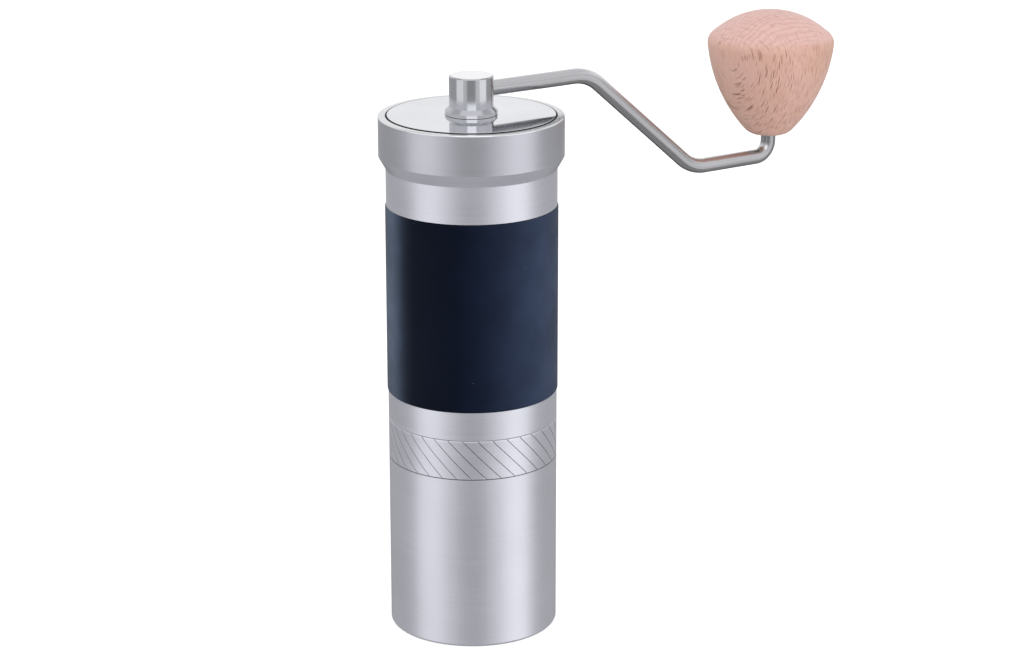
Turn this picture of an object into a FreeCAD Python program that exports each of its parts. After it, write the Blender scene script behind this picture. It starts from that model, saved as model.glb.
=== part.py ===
import FreeCAD, Part

import math
import os

import Sketcher

# Hand crank coffee grinder, in millimetres.
# The origin is the centre of the cup's underside, +Z is up along the drive shaft and the
# crank's handle points along +X.  The lower part of the tube is the catch cup; the rest of the
# tube screws onto the cup's neck and carries the burr set, the bean space, the lid and the crank.

DRIVING_SIZES = {
    # outer tube, from the floor up
    "tube_radius": 27.5,
    "base_round": 0.9,
    "band_low": 58.0,
    "band_line": 0.4,
    "band_line_depth": 0.25,
    "seam_height": 71.1,
    "seam_break": 0.15,
    "seam_gap": 0.05,
    "grip_low": 80.6,
    "grip_high": 142.45,
    "grip_radius": 27.8,
    "grip_seat_radius": 26.0,
    "grip_gap": 0.05,
    "grip_edge": 0.5,
    "flare_low": 154.5,
    "collar_low": 158.5,
    "collar_radius": 29.75,
    "collar_top": 171.5,
    "collar_edge": 0.5,
    # inside of the tube and the cup
    "bore_radius": 24.0,
    "bore_low": 81.8,
    "bore_high": 160.0,
    "mouth_radius": 25.4,
    "mouth_low": 163.0,
    "lid_seat_radius": 27.4,
    "lid_seat_height": 167.6,
    "cup_bore_radius": 23.8,
    "cup_floor": 2.4,
    "cup_floor_round": 3.0,
    "neck_radius": 25.6,
    "neck_top": 79.4,
    "neck_edge": 0.5,
    "neck_bore_edge": 0.4,
    "thread_gap": 0.2,
    "thread_high": 80.0,
    "seal_height": 74.0,
    "seal_pitch_radius": 25.15,
    "seal_section": 0.5,
    "seal_groove_depth": 1.1,
    "seal_groove_gap": 0.15,
    # lid
    "lid_radius": 26.9,
    "lid_groove_radius": 25.6,
    "lid_bore_radius": 6.6,
    "lid_gap": 0.1,
    "lid_rise": 0.25,
    "lid_edge": 0.15,
    "lid_lower_lip": 0.8,
    "lid_upper_lip": 0.5,
    "gasket_radius": 27.32,
    "gasket_edge": 0.3,
    "gasket_lip_edge": 0.12,
    "gasket_gap": 0.05,
    # crank hub, arm and knob
    "hub_radius": 7.1,
    "hub_top": 184.3,
    "hub_flange_radius": 8.45,
    "hub_boss_radius": 6.5,
    "hub_bottom": 158.0,
    "hub_edge": 0.4,
    "hub_flange_height": 1.4,
    "hub_boss_edge": 0.5,
    "lid_clip_depth": 0.6,
    "lid_clip_width": 1.0,
    "socket_flats": 7.0,
    "socket_top": 168.2,
    "rod_radius": 2.5,
    "rod_start": -3.1,
    "rod_fit": 0.02,
    "arm_height": 179.2,
    "arm_low": 142.3,
    "upper_bend_reach": 44.9,
    "lower_bend_reach": 87.8,
    "knob_reach": 120.3,
    "upper_bend": 15.0,
    "lower_bend": 14.0,
    "spindle_bend": 5.2,
    "spindle_top": 182.0,
    "knob_low": 150.1,
    "knob_top": 192.4,
    "knob_foot_radius": 5.4,
    "knob_foot_round": 6.1,
    "knob_waist_radius": 8.67,
    "knob_waist_rise": 2.12,
    "knob_side_round": 51.4,
    "knob_shoulder_radius": 21.35,
    "knob_shoulder_rise": 30.8,
    "knob_shoulder_round": 4.4,
    "knob_rim_radius": 19.1,
    "knob_rim_rise": 35.1,
    "knob_bore_headroom": 2.0,
    "bush_radius": 4.5,
    "bush_gap": 0.06,
    "snap_ring_room": 3.6,
    # drive shaft
    "shaft_radius": 3.98,
    "shaft_low": 77.0,
    "shaft_top": 167.0,
    "shaft_flats": 6.8,
    "hexagon_length": 12.0,
    "flat_width": 6.4,
    "flat_low": 84.0,
    "flat_length": 20.5,
    "shaft_flange_radius": 6.6,
    "shaft_flange_height": 1.5,
    "shaft_shoulder_radius": 4.9,
    "shaft_shoulder_height": 0.6,
    "shaft_clip_depth": 0.4,
    "spacer_radius": 5.0,
    # ball bearings of 8 x 16 x 5 mm
    "bearing_radius": 8.0,
    "bearing_bore": 4.0,
    "bearing_width": 5.0,
    "outer_land": 6.75,
    "inner_land": 5.35,
    "ball_pitch_radius": 6.05,
    "ball_radius": 1.0,
    "ball_gap": 0.06,
    "cage_half_width": 0.45,
    "cage_half_height": 1.4,
    "upper_bearing_low": 149.5,
    "lower_bearing_low": 107.0,
    # brackets that hold the bearings
    "bracket_hub": 10.5,
    "bracket_rim": 21.8,
    "bracket_radius": 23.95,
    "arm_width": 5.0,
    "arm_thickness": 5.0,
    "arm_start": 1.0,
    "rim_below_arm": 0.5,
    "rim_above_arm": 6.5,
    "bracket_lip": 1.5,
    "bracket_floor": 2.0,
    "bracket_eye": 7.0,
    "seat_fit": 0.02,
    "clip_groove_depth": 0.6,
    "clip_groove_width": 0.9,
    "clip_thickness": 0.8,
    "clip_gap": 0.05,
    "set_screw_radius": 1.5,
    "set_screw_socket": 0.85,
    "set_screw_outer_end": 25.9,
    "bracket_screw_height": 110.5,
    "burr_screw_height": 96.0,
    # burr set
    "outer_burr_low": 88.0,
    "outer_burr_high": 102.0,
    "outer_burr_radius": 23.9,
    "inner_burr_low": 87.0,
    "inner_burr_high": 104.0,
    "inner_burr_radius": 18.9,
    "inner_burr_top_radius": 8.6,
    "spring_pocket_radius": 6.9,
    "spring_pocket_depth": 8.0,
    "spring_pitch_radius": 5.9,
    "spring_wire": 0.6,
    "spring_end_gap": 0.02,
    # adjustment dial
    "dial_low": 80.6,
    "dial_high": 86.9,
    "dial_radius": 12.5,
    "dial_low_edge": 1.2,
    "dial_high_edge": 0.4,
    "dial_notch_radius": 1.3,
    "bore_fit": 0.1,
    "click_radius": 10.0,
    "click_hole_radius": 0.7,
    "click_hole_depth": 0.4,
    "detent_pocket_radius": 1.1,
    "detent_pocket_depth": 4.5,
    "detent_ball_radius": 1.0,
    "detent_spring_radius": 0.75,
    "detent_spring_wire": 0.18,
}

BALLS_PER_BEARING = 9
BRACKET_ARMS = 3
DIAL_CLICKS = 30
DIAL_NOTCHES = 15
DETENTS = 3
DETENT_SPRING_TURNS = 3
BURR_SPRING_TURNS = 4
VERTICAL_AXIS = -2
SCREW_PLAY = 0.05
SCREW_HOLE_START = 17.0
CLEAR = 1.0   # how far a cutting tool runs past what it cuts

doc = FreeCAD.newDocument("coffee_grinder")
parts = []


class Dim:
    """A length with the spreadsheet expression that gives it."""

    def __init__(self, value, text):
        self.value = float(value)
        self.text = text

    def __add__(self, other):
        other = dim(other)
        return Dim(self.value + other.value, f"({self.text} + {other.text})")

    def __sub__(self, other):
        other = dim(other)
        return Dim(self.value - other.value, f"({self.text} - {other.text})")

    def __mul__(self, factor):
        return Dim(self.value * factor, f"({self.text} * {factor})")

    def __neg__(self):
        return Dim(-self.value, f"(-1 * {self.text})")


def dim(value):
    """Give a plain number the same form as a size from the sheet."""
    return value if isinstance(value, Dim) else Dim(value, repr(float(value)))


def make_sheet():
    """Write the driving sizes to the sheet and return them as an object with attributes."""
    sheet = doc.addObject("Spreadsheet::Sheet", "Sizes")
    sizes = type("Sizes", (), {})()
    for row, (name, value) in enumerate(DRIVING_SIZES.items(), start=1):
        sheet.set(f"A{row}", name)
        sheet.set(f"B{row}", str(value))
        sheet.setAlias(f"B{row}", name)
        setattr(sizes, name, Dim(value, f"Sizes.{name}"))
    doc.recompute()
    return sizes


size = make_sheet()


# ---------------------------------------------------------------- helpers: sketches and bodies

def new_body(label):
    body = doc.addObject("PartDesign::Body", label)
    body.Label = label
    return body


def origin_item(body, role):
    return next(item for item in body.Origin.OriginFeatures if item.Role == role)


def new_sketch(body, name, role="XZ_Plane"):
    sketch = body.newObject("Sketcher::SketchObject", name)
    sketch.AttachmentSupport = [(origin_item(body, role), "")]
    sketch.MapMode = "FlatFace"
    return sketch


def lift_sketch(sketch, height):
    """Move a sketch along its plane's normal."""
    sketch.setExpression(".AttachmentOffset.Base.z", dim(height).text)


def arc_between(start, end, radius, bulge):
    """Arc geometry from start to end, and whether its own start is the given start.

    A positive bulge puts the arc to the right of the way from start to end.
    """
    chord = end - start
    middle = (start + end) * 0.5
    right = FreeCAD.Vector(chord.y, -chord.x, 0).normalize()
    depth = math.sqrt(radius ** 2 - chord.Length ** 2 / 4)
    centre = middle - right * depth * bulge
    first = math.atan2(start.y - centre.y, start.x - centre.x)
    last = math.atan2(end.y - centre.y, end.x - centre.x)
    forward = bulge > 0
    low, high = (first, last) if forward else (last, first)
    if high < low:
        high += 2 * math.pi
    circle = Part.Circle(centre, FreeCAD.Vector(0, 0, 1), radius)
    return Part.ArcOfCircle(circle, low, high), forward


def cap_radius(rim, pole):
    """Radius of a cap that crosses the vertical axis square at pole and starts at rim."""
    rise = abs(pole.y - rim.y)
    return (rim.x ** 2 + rise ** 2) / (2 * rise)


def draw_outline(sketch, points, arcs=None):
    """Draw a closed outline through points, each coordinate bound to its expression.

    arcs maps the number of a side to (radius, bulge); every other side is a straight line.
    A radius of None puts the arc's centre on the vertical axis.
    """
    arcs = arcs or {}
    corners = [(dim(x), dim(y)) for x, y in points]
    count = len(corners)
    shapes = []
    ends = []
    for index, (x, y) in enumerate(corners):
        next_x, next_y = corners[(index + 1) % count]
        start = FreeCAD.Vector(x.value, y.value, 0)
        end = FreeCAD.Vector(next_x.value, next_y.value, 0)
        if index in arcs:
            radius, bulge = arcs[index]
            length = cap_radius(start, end) if radius is None else dim(radius).value
            arc, forward = arc_between(start, end, length, bulge)
            shapes.append(arc)
            ends.append((1, 2) if forward else (2, 1))
        else:
            shapes.append(Part.LineSegment(start, end))
            ends.append((1, 2))
    sketch.addGeometry(shapes, False)

    constraints = []
    bindings = []
    for index in range(count):
        following = (index + 1) % count
        constraints.append(Sketcher.Constraint("Coincident", index, ends[index][1],
                                               following, ends[following][0]))
    for index, (x, y) in enumerate(corners):
        for kind, length in (("DistanceX", x), ("DistanceY", y)):
            bindings.append((len(constraints), length))
            constraints.append(Sketcher.Constraint(kind, index, ends[index][0], length.value))
    for index, (radius, _) in arcs.items():
        if radius is None:
            constraints.append(Sketcher.Constraint("PointOnObject", index, 3, VERTICAL_AXIS))
        else:
            bindings.append((len(constraints), dim(radius)))
            constraints.append(Sketcher.Constraint("Radius", index, dim(radius).value))
    sketch.addConstraint(constraints)
    for number, length in bindings:
        sketch.setExpression(f"Constraints[{number}]", length.text)


def draw_circle(sketch, x, y, radius):
    """Draw a circle whose centre and radius are bound to their expressions."""
    x, y, radius = dim(x), dim(y), dim(radius)
    centre = FreeCAD.Vector(x.value, y.value, 0)
    index = sketch.addGeometry(Part.Circle(centre, FreeCAD.Vector(0, 0, 1), radius.value), False)
    for kind, length in (("DistanceX", x), ("DistanceY", y)):
        number = sketch.addConstraint(Sketcher.Constraint(kind, index, 3, length.value))
        sketch.setExpression(f"Constraints[{number}]", length.text)
    number = sketch.addConstraint(Sketcher.Constraint("Radius", index, radius.value))
    sketch.setExpression(f"Constraints[{number}]", radius.text)


def add_turned(body, name, points, arcs=None, kind="Revolution"):
    """Turn an outline of (radius, height) points about Z, or cut it away as a Groove."""
    sketch = new_sketch(body, f"{name}_outline")
    draw_outline(sketch, points, arcs)
    feature = body.newObject(f"PartDesign::{kind}", name)
    feature.Profile = (sketch, [""])
    feature.ReferenceAxis = (sketch, ["V_Axis"])
    feature.Angle = 360
    body.Tip = feature
    return feature


def add_pocket(body, name, sketch, length=None, reverse=False):
    """Cut a sketch out of a body, through everything or to a length."""
    feature = body.newObject("PartDesign::Pocket", name)
    feature.Profile = (sketch, [""])
    feature.Reversed = reverse
    if length is None:
        feature.Type = "ThroughAll"
    else:
        feature.Type = "Length"
        feature.setExpression("Length", dim(length).text)
    body.Tip = feature
    return feature


def add_ring_of(body, name, feature, count):
    """Repeat a feature evenly about Z."""
    pattern = body.newObject("PartDesign::PolarPattern", name)
    pattern.Originals = [feature]
    pattern.Axis = (origin_item(body, "Z_Axis"), [""])
    pattern.Angle = 360
    pattern.Occurrences = count
    body.Tip = pattern
    return pattern


def turned_part(label, points, arcs=None):
    """A part that is one turned outline."""
    body = new_body(label)
    add_turned(body, f"{label}_turning", points, arcs)
    parts.append(body)
    return body


def rectangle(inner, outer, low, high):
    """Outline of a ring's section."""
    return [(inner, low), (outer, low), (outer, high), (inner, high)]


# ---------------------------------------------------------------- helpers: primitives and booleans

def bind(item, **lengths):
    for name, length in lengths.items():
        item.setExpression(name, dim(length).text)


def cylinder(name, radius, low, high):
    item = doc.addObject("Part::Cylinder", name)
    bind(item, Radius=radius, Height=dim(high) - low)
    item.setExpression(".Placement.Base.z", dim(low).text)
    return item


def fuse(name, items):
    item = doc.addObject("Part::MultiFuse", name)
    item.Shapes = items
    item.Refine = True
    return item


def cut(name, base, tool):
    item = doc.addObject("Part::Cut", name)
    item.Base = base
    item.Tool = tool
    item.Refine = True
    return item


def tube(name, inner, outer, low, high):
    return cut(name, cylinder(f"{name}_outer", outer, low, high),
               cylinder(f"{name}_inner", inner, dim(low) - CLEAR, dim(high) + CLEAR))


def radial_cylinder(name, radius, height, angle, inner, outer):
    """A cylinder that lies along a radius at the given height and angle about Z."""
    item = doc.addObject("Part::Cylinder", name)
    bind(item, Radius=radius, Height=dim(outer) - inner)
    turn = FreeCAD.Rotation(FreeCAD.Vector(0, 0, 1), angle)
    tip_over = FreeCAD.Rotation(FreeCAD.Vector(0, 1, 0), 90)
    item.Placement = FreeCAD.Placement(FreeCAD.Vector(0, 0, 0), turn * tip_over)
    bind(item, **{".Placement.Base.x": dim(inner) * round(math.cos(math.radians(angle)), 9),
                  ".Placement.Base.y": dim(inner) * round(math.sin(math.radians(angle)), 9),
                  ".Placement.Base.z": height})
    return item


def group(label, items):
    """One node that holds several separate, identical solids."""
    compound = doc.addObject("Part::Compound", label)
    compound.Links = items
    parts.append(compound)
    return compound


def spokes(count, first=90.0):
    """Evenly spaced angles about Z."""
    return [first + 360.0 / count * index for index in range(count)]


def helical_spring(axis_x, axis_y, pitch_radius, wire, low, high, turns):
    """Round wire along a helix, with its ends inside the given heights."""
    pitch = (high - low - 2 * wire) / turns
    spine = Part.makeHelix(pitch, pitch * turns, pitch_radius)
    section = Part.makeCircle(wire, FreeCAD.Vector(pitch_radius, 0, 0), FreeCAD.Vector(0, 1, 0))
    solid = Part.Wire(spine).makePipeShell([Part.Wire(section)], True, True)
    solid.translate(FreeCAD.Vector(axis_x, axis_y, low + wire))
    return Part.Solid(solid)


# ---------------------------------------------------------------- catch cup and its seal

def make_catch_cup():
    line = size.band_line * 0.5
    line_bottom = size.tube_radius - size.band_line_depth
    seal_half = size.seal_section + size.seal_groove_gap
    seal_bottom = size.neck_radius - size.seal_groove_depth
    turned_part("catch_cup", [
        (0, 0),
        (size.tube_radius - size.base_round, 0),
        (size.tube_radius, size.base_round),
        (size.tube_radius, size.band_low - line),
        (line_bottom, size.band_low - line),
        (line_bottom, size.band_low + line),
        (size.tube_radius, size.band_low + line),
        (size.tube_radius, size.seam_height - size.seam_break),
        (size.tube_radius - size.seam_break, size.seam_height),
        (size.neck_radius, size.seam_height),
        (size.neck_radius, size.seal_height - seal_half),
        (seal_bottom, size.seal_height - seal_half),
        (seal_bottom, size.seal_height + seal_half),
        (size.neck_radius, size.seal_height + seal_half),
        (size.neck_radius, size.neck_top - size.neck_edge),
        (size.neck_radius - size.neck_edge, size.neck_top),
        (size.cup_bore_radius + size.neck_bore_edge, size.neck_top),
        (size.cup_bore_radius, size.neck_top - size.neck_bore_edge),
        (size.cup_bore_radius, size.cup_floor + size.cup_floor_round),
        (size.cup_bore_radius - size.cup_floor_round, size.cup_floor),
        (0, size.cup_floor),
    ], arcs={1: (size.base_round, 1), 18: (size.cup_floor_round, -1)})


def make_seal_ring():
    body = new_body("cup_seal_ring")
    sketch = new_sketch(body, "seal_section")
    draw_circle(sketch, size.seal_pitch_radius, size.seal_height, size.seal_section)
    ring = body.newObject("PartDesign::Revolution", "seal_turning")
    ring.Profile = (sketch, [""])
    ring.ReferenceAxis = (sketch, ["V_Axis"])
    ring.Angle = 360
    body.Tip = ring
    parts.append(body)


# ---------------------------------------------------------------- body tube and grip

def make_body_tube():
    body = new_body("body_tube")
    thread_bore = size.neck_radius + size.thread_gap
    low = size.seam_height + size.seam_gap
    add_turned(body, "tube_turning", [
        (thread_bore, low),
        (size.tube_radius - size.seam_break, low),
        (size.tube_radius, low + size.seam_break),
        (size.tube_radius, size.grip_low),
        (size.grip_seat_radius, size.grip_low),
        (size.grip_seat_radius, size.grip_high),
        (size.tube_radius, size.grip_high),
        (size.tube_radius, size.flare_low),
        (size.collar_radius, size.collar_low),
        (size.collar_radius, size.collar_top - size.collar_edge),
        (size.collar_radius - size.collar_edge, size.collar_top),
        (size.lid_seat_radius, size.collar_top),
        (size.lid_seat_radius, size.lid_seat_height),
        (size.mouth_radius, size.lid_seat_height),
        (size.mouth_radius, size.mouth_low),
        (size.bore_radius, size.bore_high),
        (size.bore_radius, size.bore_low),
        (thread_bore, size.thread_high),
    ])
    for name, height in (("bracket", size.bracket_screw_height),
                         ("burr", size.burr_screw_height)):
        sketch = new_sketch(body, f"{name}_screw_hole")
        draw_circle(sketch, 0, height, size.set_screw_radius + SCREW_PLAY)
        doc.recompute()
        hole = add_pocket(body, f"{name}_screw_hole_cut", sketch)
        add_ring_of(body, f"{name}_screw_holes", hole, BRACKET_ARMS)
    parts.append(body)


def make_grip_sleeve():
    inner = size.grip_seat_radius + size.grip_gap
    low = size.grip_low + size.grip_gap
    high = size.grip_high - size.grip_gap
    edge = size.grip_edge
    turned_part("grip_sleeve", [
        (inner, low),
        (size.grip_radius - edge, low),
        (size.grip_radius, low + edge),
        (size.grip_radius, high - edge),
        (size.grip_radius - edge, high),
        (inner, high),
    ], arcs={1: (edge, 1), 3: (edge, 1)})


# ---------------------------------------------------------------- brackets and set screws

def make_bracket(label, seat_low, opens_up, web_low, screw_height=None):
    """A hub for a bearing, joined by three arms to a rim that fits the tube's bore."""
    seat_high = seat_low + size.bearing_width
    clip = size.clip_groove_width
    hub_high = seat_high + size.bracket_lip
    if opens_up:
        hub_low = seat_low - size.bracket_floor
        cut_low, cut_high = seat_low, hub_high + CLEAR
        clip_low = seat_high
    else:
        hub_low = seat_low - size.bracket_lip
        cut_low, cut_high = hub_low - CLEAR, seat_high
        clip_low = seat_low - clip
    web_low = dim(web_low)
    solids = [cylinder(f"{label}_hub", size.bracket_hub, hub_low, hub_high),
              tube(f"{label}_rim", size.bracket_rim, size.bracket_radius,
                   web_low - size.rim_below_arm, web_low + size.rim_above_arm)]
    for number, angle in enumerate(spokes(BRACKET_ARMS)):
        arm = doc.addObject("Part::Box", f"{label}_arm_{number}")
        bind(arm, Length=size.bracket_rim, Width=size.arm_width, Height=size.arm_thickness)
        turn = FreeCAD.Rotation(FreeCAD.Vector(0, 0, 1), angle)
        corner = turn.multVec(FreeCAD.Vector(size.arm_start.value, -size.arm_width.value / 2, 0))
        arm.Placement = FreeCAD.Placement(corner, turn)
        arm.setExpression(".Placement.Base.z", web_low.text)
        solids.append(arm)
    tools = [cylinder(f"{label}_seat", size.bearing_radius + size.seat_fit, cut_low, cut_high),
             cylinder(f"{label}_eye", size.bracket_eye, hub_low - CLEAR, hub_high + CLEAR),
             cylinder(f"{label}_clip_groove", size.bearing_radius + size.clip_groove_depth,
                      clip_low, clip_low + clip)]
    if screw_height is not None:
        tools += [radial_cylinder(f"{label}_screw_hole_{number}",
                                  size.set_screw_radius + size.seat_fit, screw_height, angle,
                                  SCREW_HOLE_START, size.bracket_radius + CLEAR)
                  for number, angle in enumerate(spokes(BRACKET_ARMS))]
    bracket = cut(label, fuse(f"{label}_solids", solids), fuse(f"{label}_cuts", tools))
    parts.append(bracket)


def make_set_screws(label, height, inner):
    """Headless set screws with a hexagon socket, lying along the bracket's radii."""
    outer = size.set_screw_outer_end
    socket_depth = 1.6
    screws = []
    for number, angle in enumerate(spokes(BRACKET_ARMS)):
        shank = radial_cylinder(f"{label}_shank_{number}", size.set_screw_radius, height, angle,
                                inner, outer)
        socket = doc.addObject("Part::Prism", f"{label}_socket_{number}")
        socket.Polygon = 6
        bind(socket, Circumradius=size.set_screw_socket, Height=socket_depth + CLEAR)
        socket.Placement = shank.Placement
        socket_start = outer - socket_depth
        bind(socket, **{
            ".Placement.Base.x": socket_start * round(math.cos(math.radians(angle)), 9),
            ".Placement.Base.y": socket_start * round(math.sin(math.radians(angle)), 9),
            ".Placement.Base.z": height})
        screws.append(cut(f"{label}_{number}", shank, socket))
    group(label, screws)


# ---------------------------------------------------------------- bearings and circlips

def make_bearing(place, low):
    """Outer ring, inner ring, cage and balls of one deep groove ball bearing."""
    high = low + size.bearing_width
    middle = low + size.bearing_width * 0.5
    track = size.ball_radius + size.ball_gap

    for ring, inner, outer in (("outer_ring", size.outer_land, size.bearing_radius),
                               ("inner_ring", size.bearing_bore, size.inner_land)):
        label = f"{place}_bearing_{ring}"
        body = new_body(label)
        add_turned(body, f"{label}_turning", rectangle(inner, outer, low, high))
        sketch = new_sketch(body, f"{label}_track")
        draw_circle(sketch, size.ball_pitch_radius, middle, track)
        doc.recompute()
        groove = body.newObject("PartDesign::Groove", f"{label}_groove")
        groove.Profile = (sketch, [""])
        groove.ReferenceAxis = (sketch, ["V_Axis"])
        groove.Angle = 360
        body.Tip = groove
        parts.append(body)

    balls = []
    for number, angle in enumerate(spokes(BALLS_PER_BEARING)):
        ball = doc.addObject("Part::Sphere", f"{place}_ball_{number}")
        bind(ball, Radius=size.ball_radius, **{
            ".Placement.Base.x": size.ball_pitch_radius * round(math.cos(math.radians(angle)), 9),
            ".Placement.Base.y": size.ball_pitch_radius * round(math.sin(math.radians(angle)), 9),
            ".Placement.Base.z": middle})
        balls.append(ball)
    group(f"{place}_bearing_balls", balls)

    cage = new_body(f"{place}_bearing_cage")
    add_turned(cage, f"{place}_cage_turning", rectangle(
        size.ball_pitch_radius - size.cage_half_width,
        size.ball_pitch_radius + size.cage_half_width,
        middle - size.cage_half_height, middle + size.cage_half_height))
    sketch = new_sketch(cage, f"{place}_cage_pocket")
    draw_circle(sketch, 0, middle, track)
    doc.recompute()
    pocket = add_pocket(cage, f"{place}_cage_pocket_cut", sketch)
    add_ring_of(cage, f"{place}_cage_pockets", pocket, BALLS_PER_BEARING)
    parts.append(cage)


def make_circlip(label, inner, outer, low, thickness, opening, angle):
    """A flat retaining ring with a gap."""
    ring = tube(f"{label}_ring", inner, outer, low, dim(low) + thickness)
    gap = doc.addObject("Part::Box", f"{label}_gap")
    bind(gap, Length=dim(outer) + CLEAR, Width=opening, Height=dim(thickness) + 2 * CLEAR)
    turn = FreeCAD.Rotation(FreeCAD.Vector(0, 0, 1), angle)
    gap.Placement = FreeCAD.Placement(turn.multVec(FreeCAD.Vector(0, -opening / 2, 0)), turn)
    gap.setExpression(".Placement.Base.z", (dim(low) - CLEAR).text)
    parts.append(cut(label, ring, gap))


# ---------------------------------------------------------------- drive shaft

def make_drive_shaft():
    body = new_body("drive_shaft")
    seat = size.lower_bearing_low
    flange_high = seat - size.shaft_shoulder_height
    flange_low = flange_high - size.shaft_flange_height
    clip_low = size.upper_bearing_low + size.bearing_width
    clip_high = clip_low + size.clip_groove_width
    clip_radius = size.shaft_radius - size.shaft_clip_depth
    low_edge = 0.6
    top_edge = 1.0
    add_turned(body, "shaft_turning", [
        (0, size.shaft_low),
        (size.shaft_radius - low_edge, size.shaft_low),
        (size.shaft_radius, size.shaft_low + low_edge),
        (size.shaft_radius, flange_low),
        (size.shaft_flange_radius, flange_low),
        (size.shaft_flange_radius, flange_high),
        (size.shaft_shoulder_radius, flange_high),
        (size.shaft_shoulder_radius, seat),
        (size.shaft_radius, seat),
        (size.shaft_radius, clip_low),
        (clip_radius, clip_low),
        (clip_radius, clip_high),
        (size.shaft_radius, clip_high),
        (size.shaft_radius, size.shaft_top - top_edge),
        (size.shaft_radius - top_edge, size.shaft_top),
        (0, size.shaft_top),
    ])
    for side in (1, -1):
        sketch = new_sketch(body, f"drive_flat_{side + 2}", "XY_Plane")
        near = size.flat_width * (0.5 * side)
        far = (size.shaft_radius + 2 * CLEAR) * side
        reach = size.shaft_radius + CLEAR
        draw_outline(sketch, [(-reach, near), (reach, near), (reach, far), (-reach, far)])
        lift_sketch(sketch, size.flat_low)
        doc.recompute()
        add_pocket(body, f"drive_flat_cut_{side + 2}", sketch, size.flat_length, reverse=True)
    hexagon = new_sketch(body, "crank_hexagon", "XY_Plane")
    draw_outline(hexagon, hexagon_points(size.shaft_flats))
    draw_circle(hexagon, 0, 0, size.shaft_radius + 2 * CLEAR)
    lift_sketch(hexagon, size.hub_bottom - CLEAR)
    doc.recompute()
    add_pocket(body, "crank_hexagon_cut", hexagon, size.hexagon_length, reverse=True)
    parts.append(body)


def hexagon_points(flats):
    """Corners of a hexagon with the given width across its flats."""
    half_side = flats * (0.5 / math.sqrt(3))
    corner = flats * (1 / math.sqrt(3))
    half = flats * 0.5
    return [(corner, 0), (half_side, half), (-half_side, half),
            (-corner, 0), (-half_side, -half), (half_side, -half)]


def make_shaft_spacer():
    turned_part("shaft_spacer", rectangle(
        size.bearing_bore + size.seat_fit, size.spacer_radius,
        size.lower_bearing_low + size.bearing_width, size.upper_bearing_low))


# ---------------------------------------------------------------- burr set

def make_outer_burr():
    body = new_body("outer_burr")
    low, high = size.outer_burr_low, size.outer_burr_high
    add_turned(body, "outer_burr_turning", [
        (19.3, low),
        (size.outer_burr_radius, low),
        (size.outer_burr_radius, high),
        (18.6, high),
        (15.8, low + 9),
        (17.15, low + 4),
        (19.25, low + 0.9),
    ])
    add_burr_teeth(body, "feed", count=12, radius=16.6, tip=2.2, width=3.4, lean=30,
                   low=low.value + 4, length=14, skew=16, downwards=True)
    add_burr_teeth(body, "fine", count=36, radius=19.0, tip=0.7, width=1.2, lean=-34,
                   low=low.value - 1, length=7, skew=12, downwards=True)
    sketch = new_sketch(body, "outer_burr_screw_dimple")
    dimple_depth = size.outer_burr_radius - 22.4
    draw_circle(sketch, 0, size.burr_screw_height, size.set_screw_radius + SCREW_PLAY)
    lift_sketch(sketch, dimple_depth - size.outer_burr_radius)
    doc.recompute()
    hole = add_pocket(body, "outer_burr_dimple_cut", sketch, dimple_depth + CLEAR)
    add_ring_of(body, "outer_burr_dimples", hole, BRACKET_ARMS)
    parts.append(body)


def add_burr_teeth(body, name, count, radius, tip, width, lean, low, length, skew,
                   downwards=False):
    """Cut straight V grooves along a cone's side and repeat them about Z.

    radius and low place the groove, tip is how far its V points outwards, or inwards if it is
    negative, lean tips the groove outwards as it rises, and skew turns it about the radius so
    that the teeth cross each other.
    """
    sketch = new_sketch(body, f"{name}_tooth", "XY_Plane")
    open_side = math.copysign(1.2, -tip)
    draw_outline(sketch, [(open_side, -width / 2), (tip, 0), (open_side, width / 2)])
    tip_over = FreeCAD.Rotation(FreeCAD.Vector(0, 1, 0), lean)
    twist = FreeCAD.Rotation(FreeCAD.Vector(1, 0, 0), skew)
    sketch.AttachmentOffset = FreeCAD.Placement(FreeCAD.Vector(radius, 0, low), tip_over * twist)
    doc.recompute()
    tooth = add_pocket(body, f"{name}_tooth_cut", sketch, length, reverse=downwards)
    add_ring_of(body, f"{name}_teeth", tooth, count)


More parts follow.
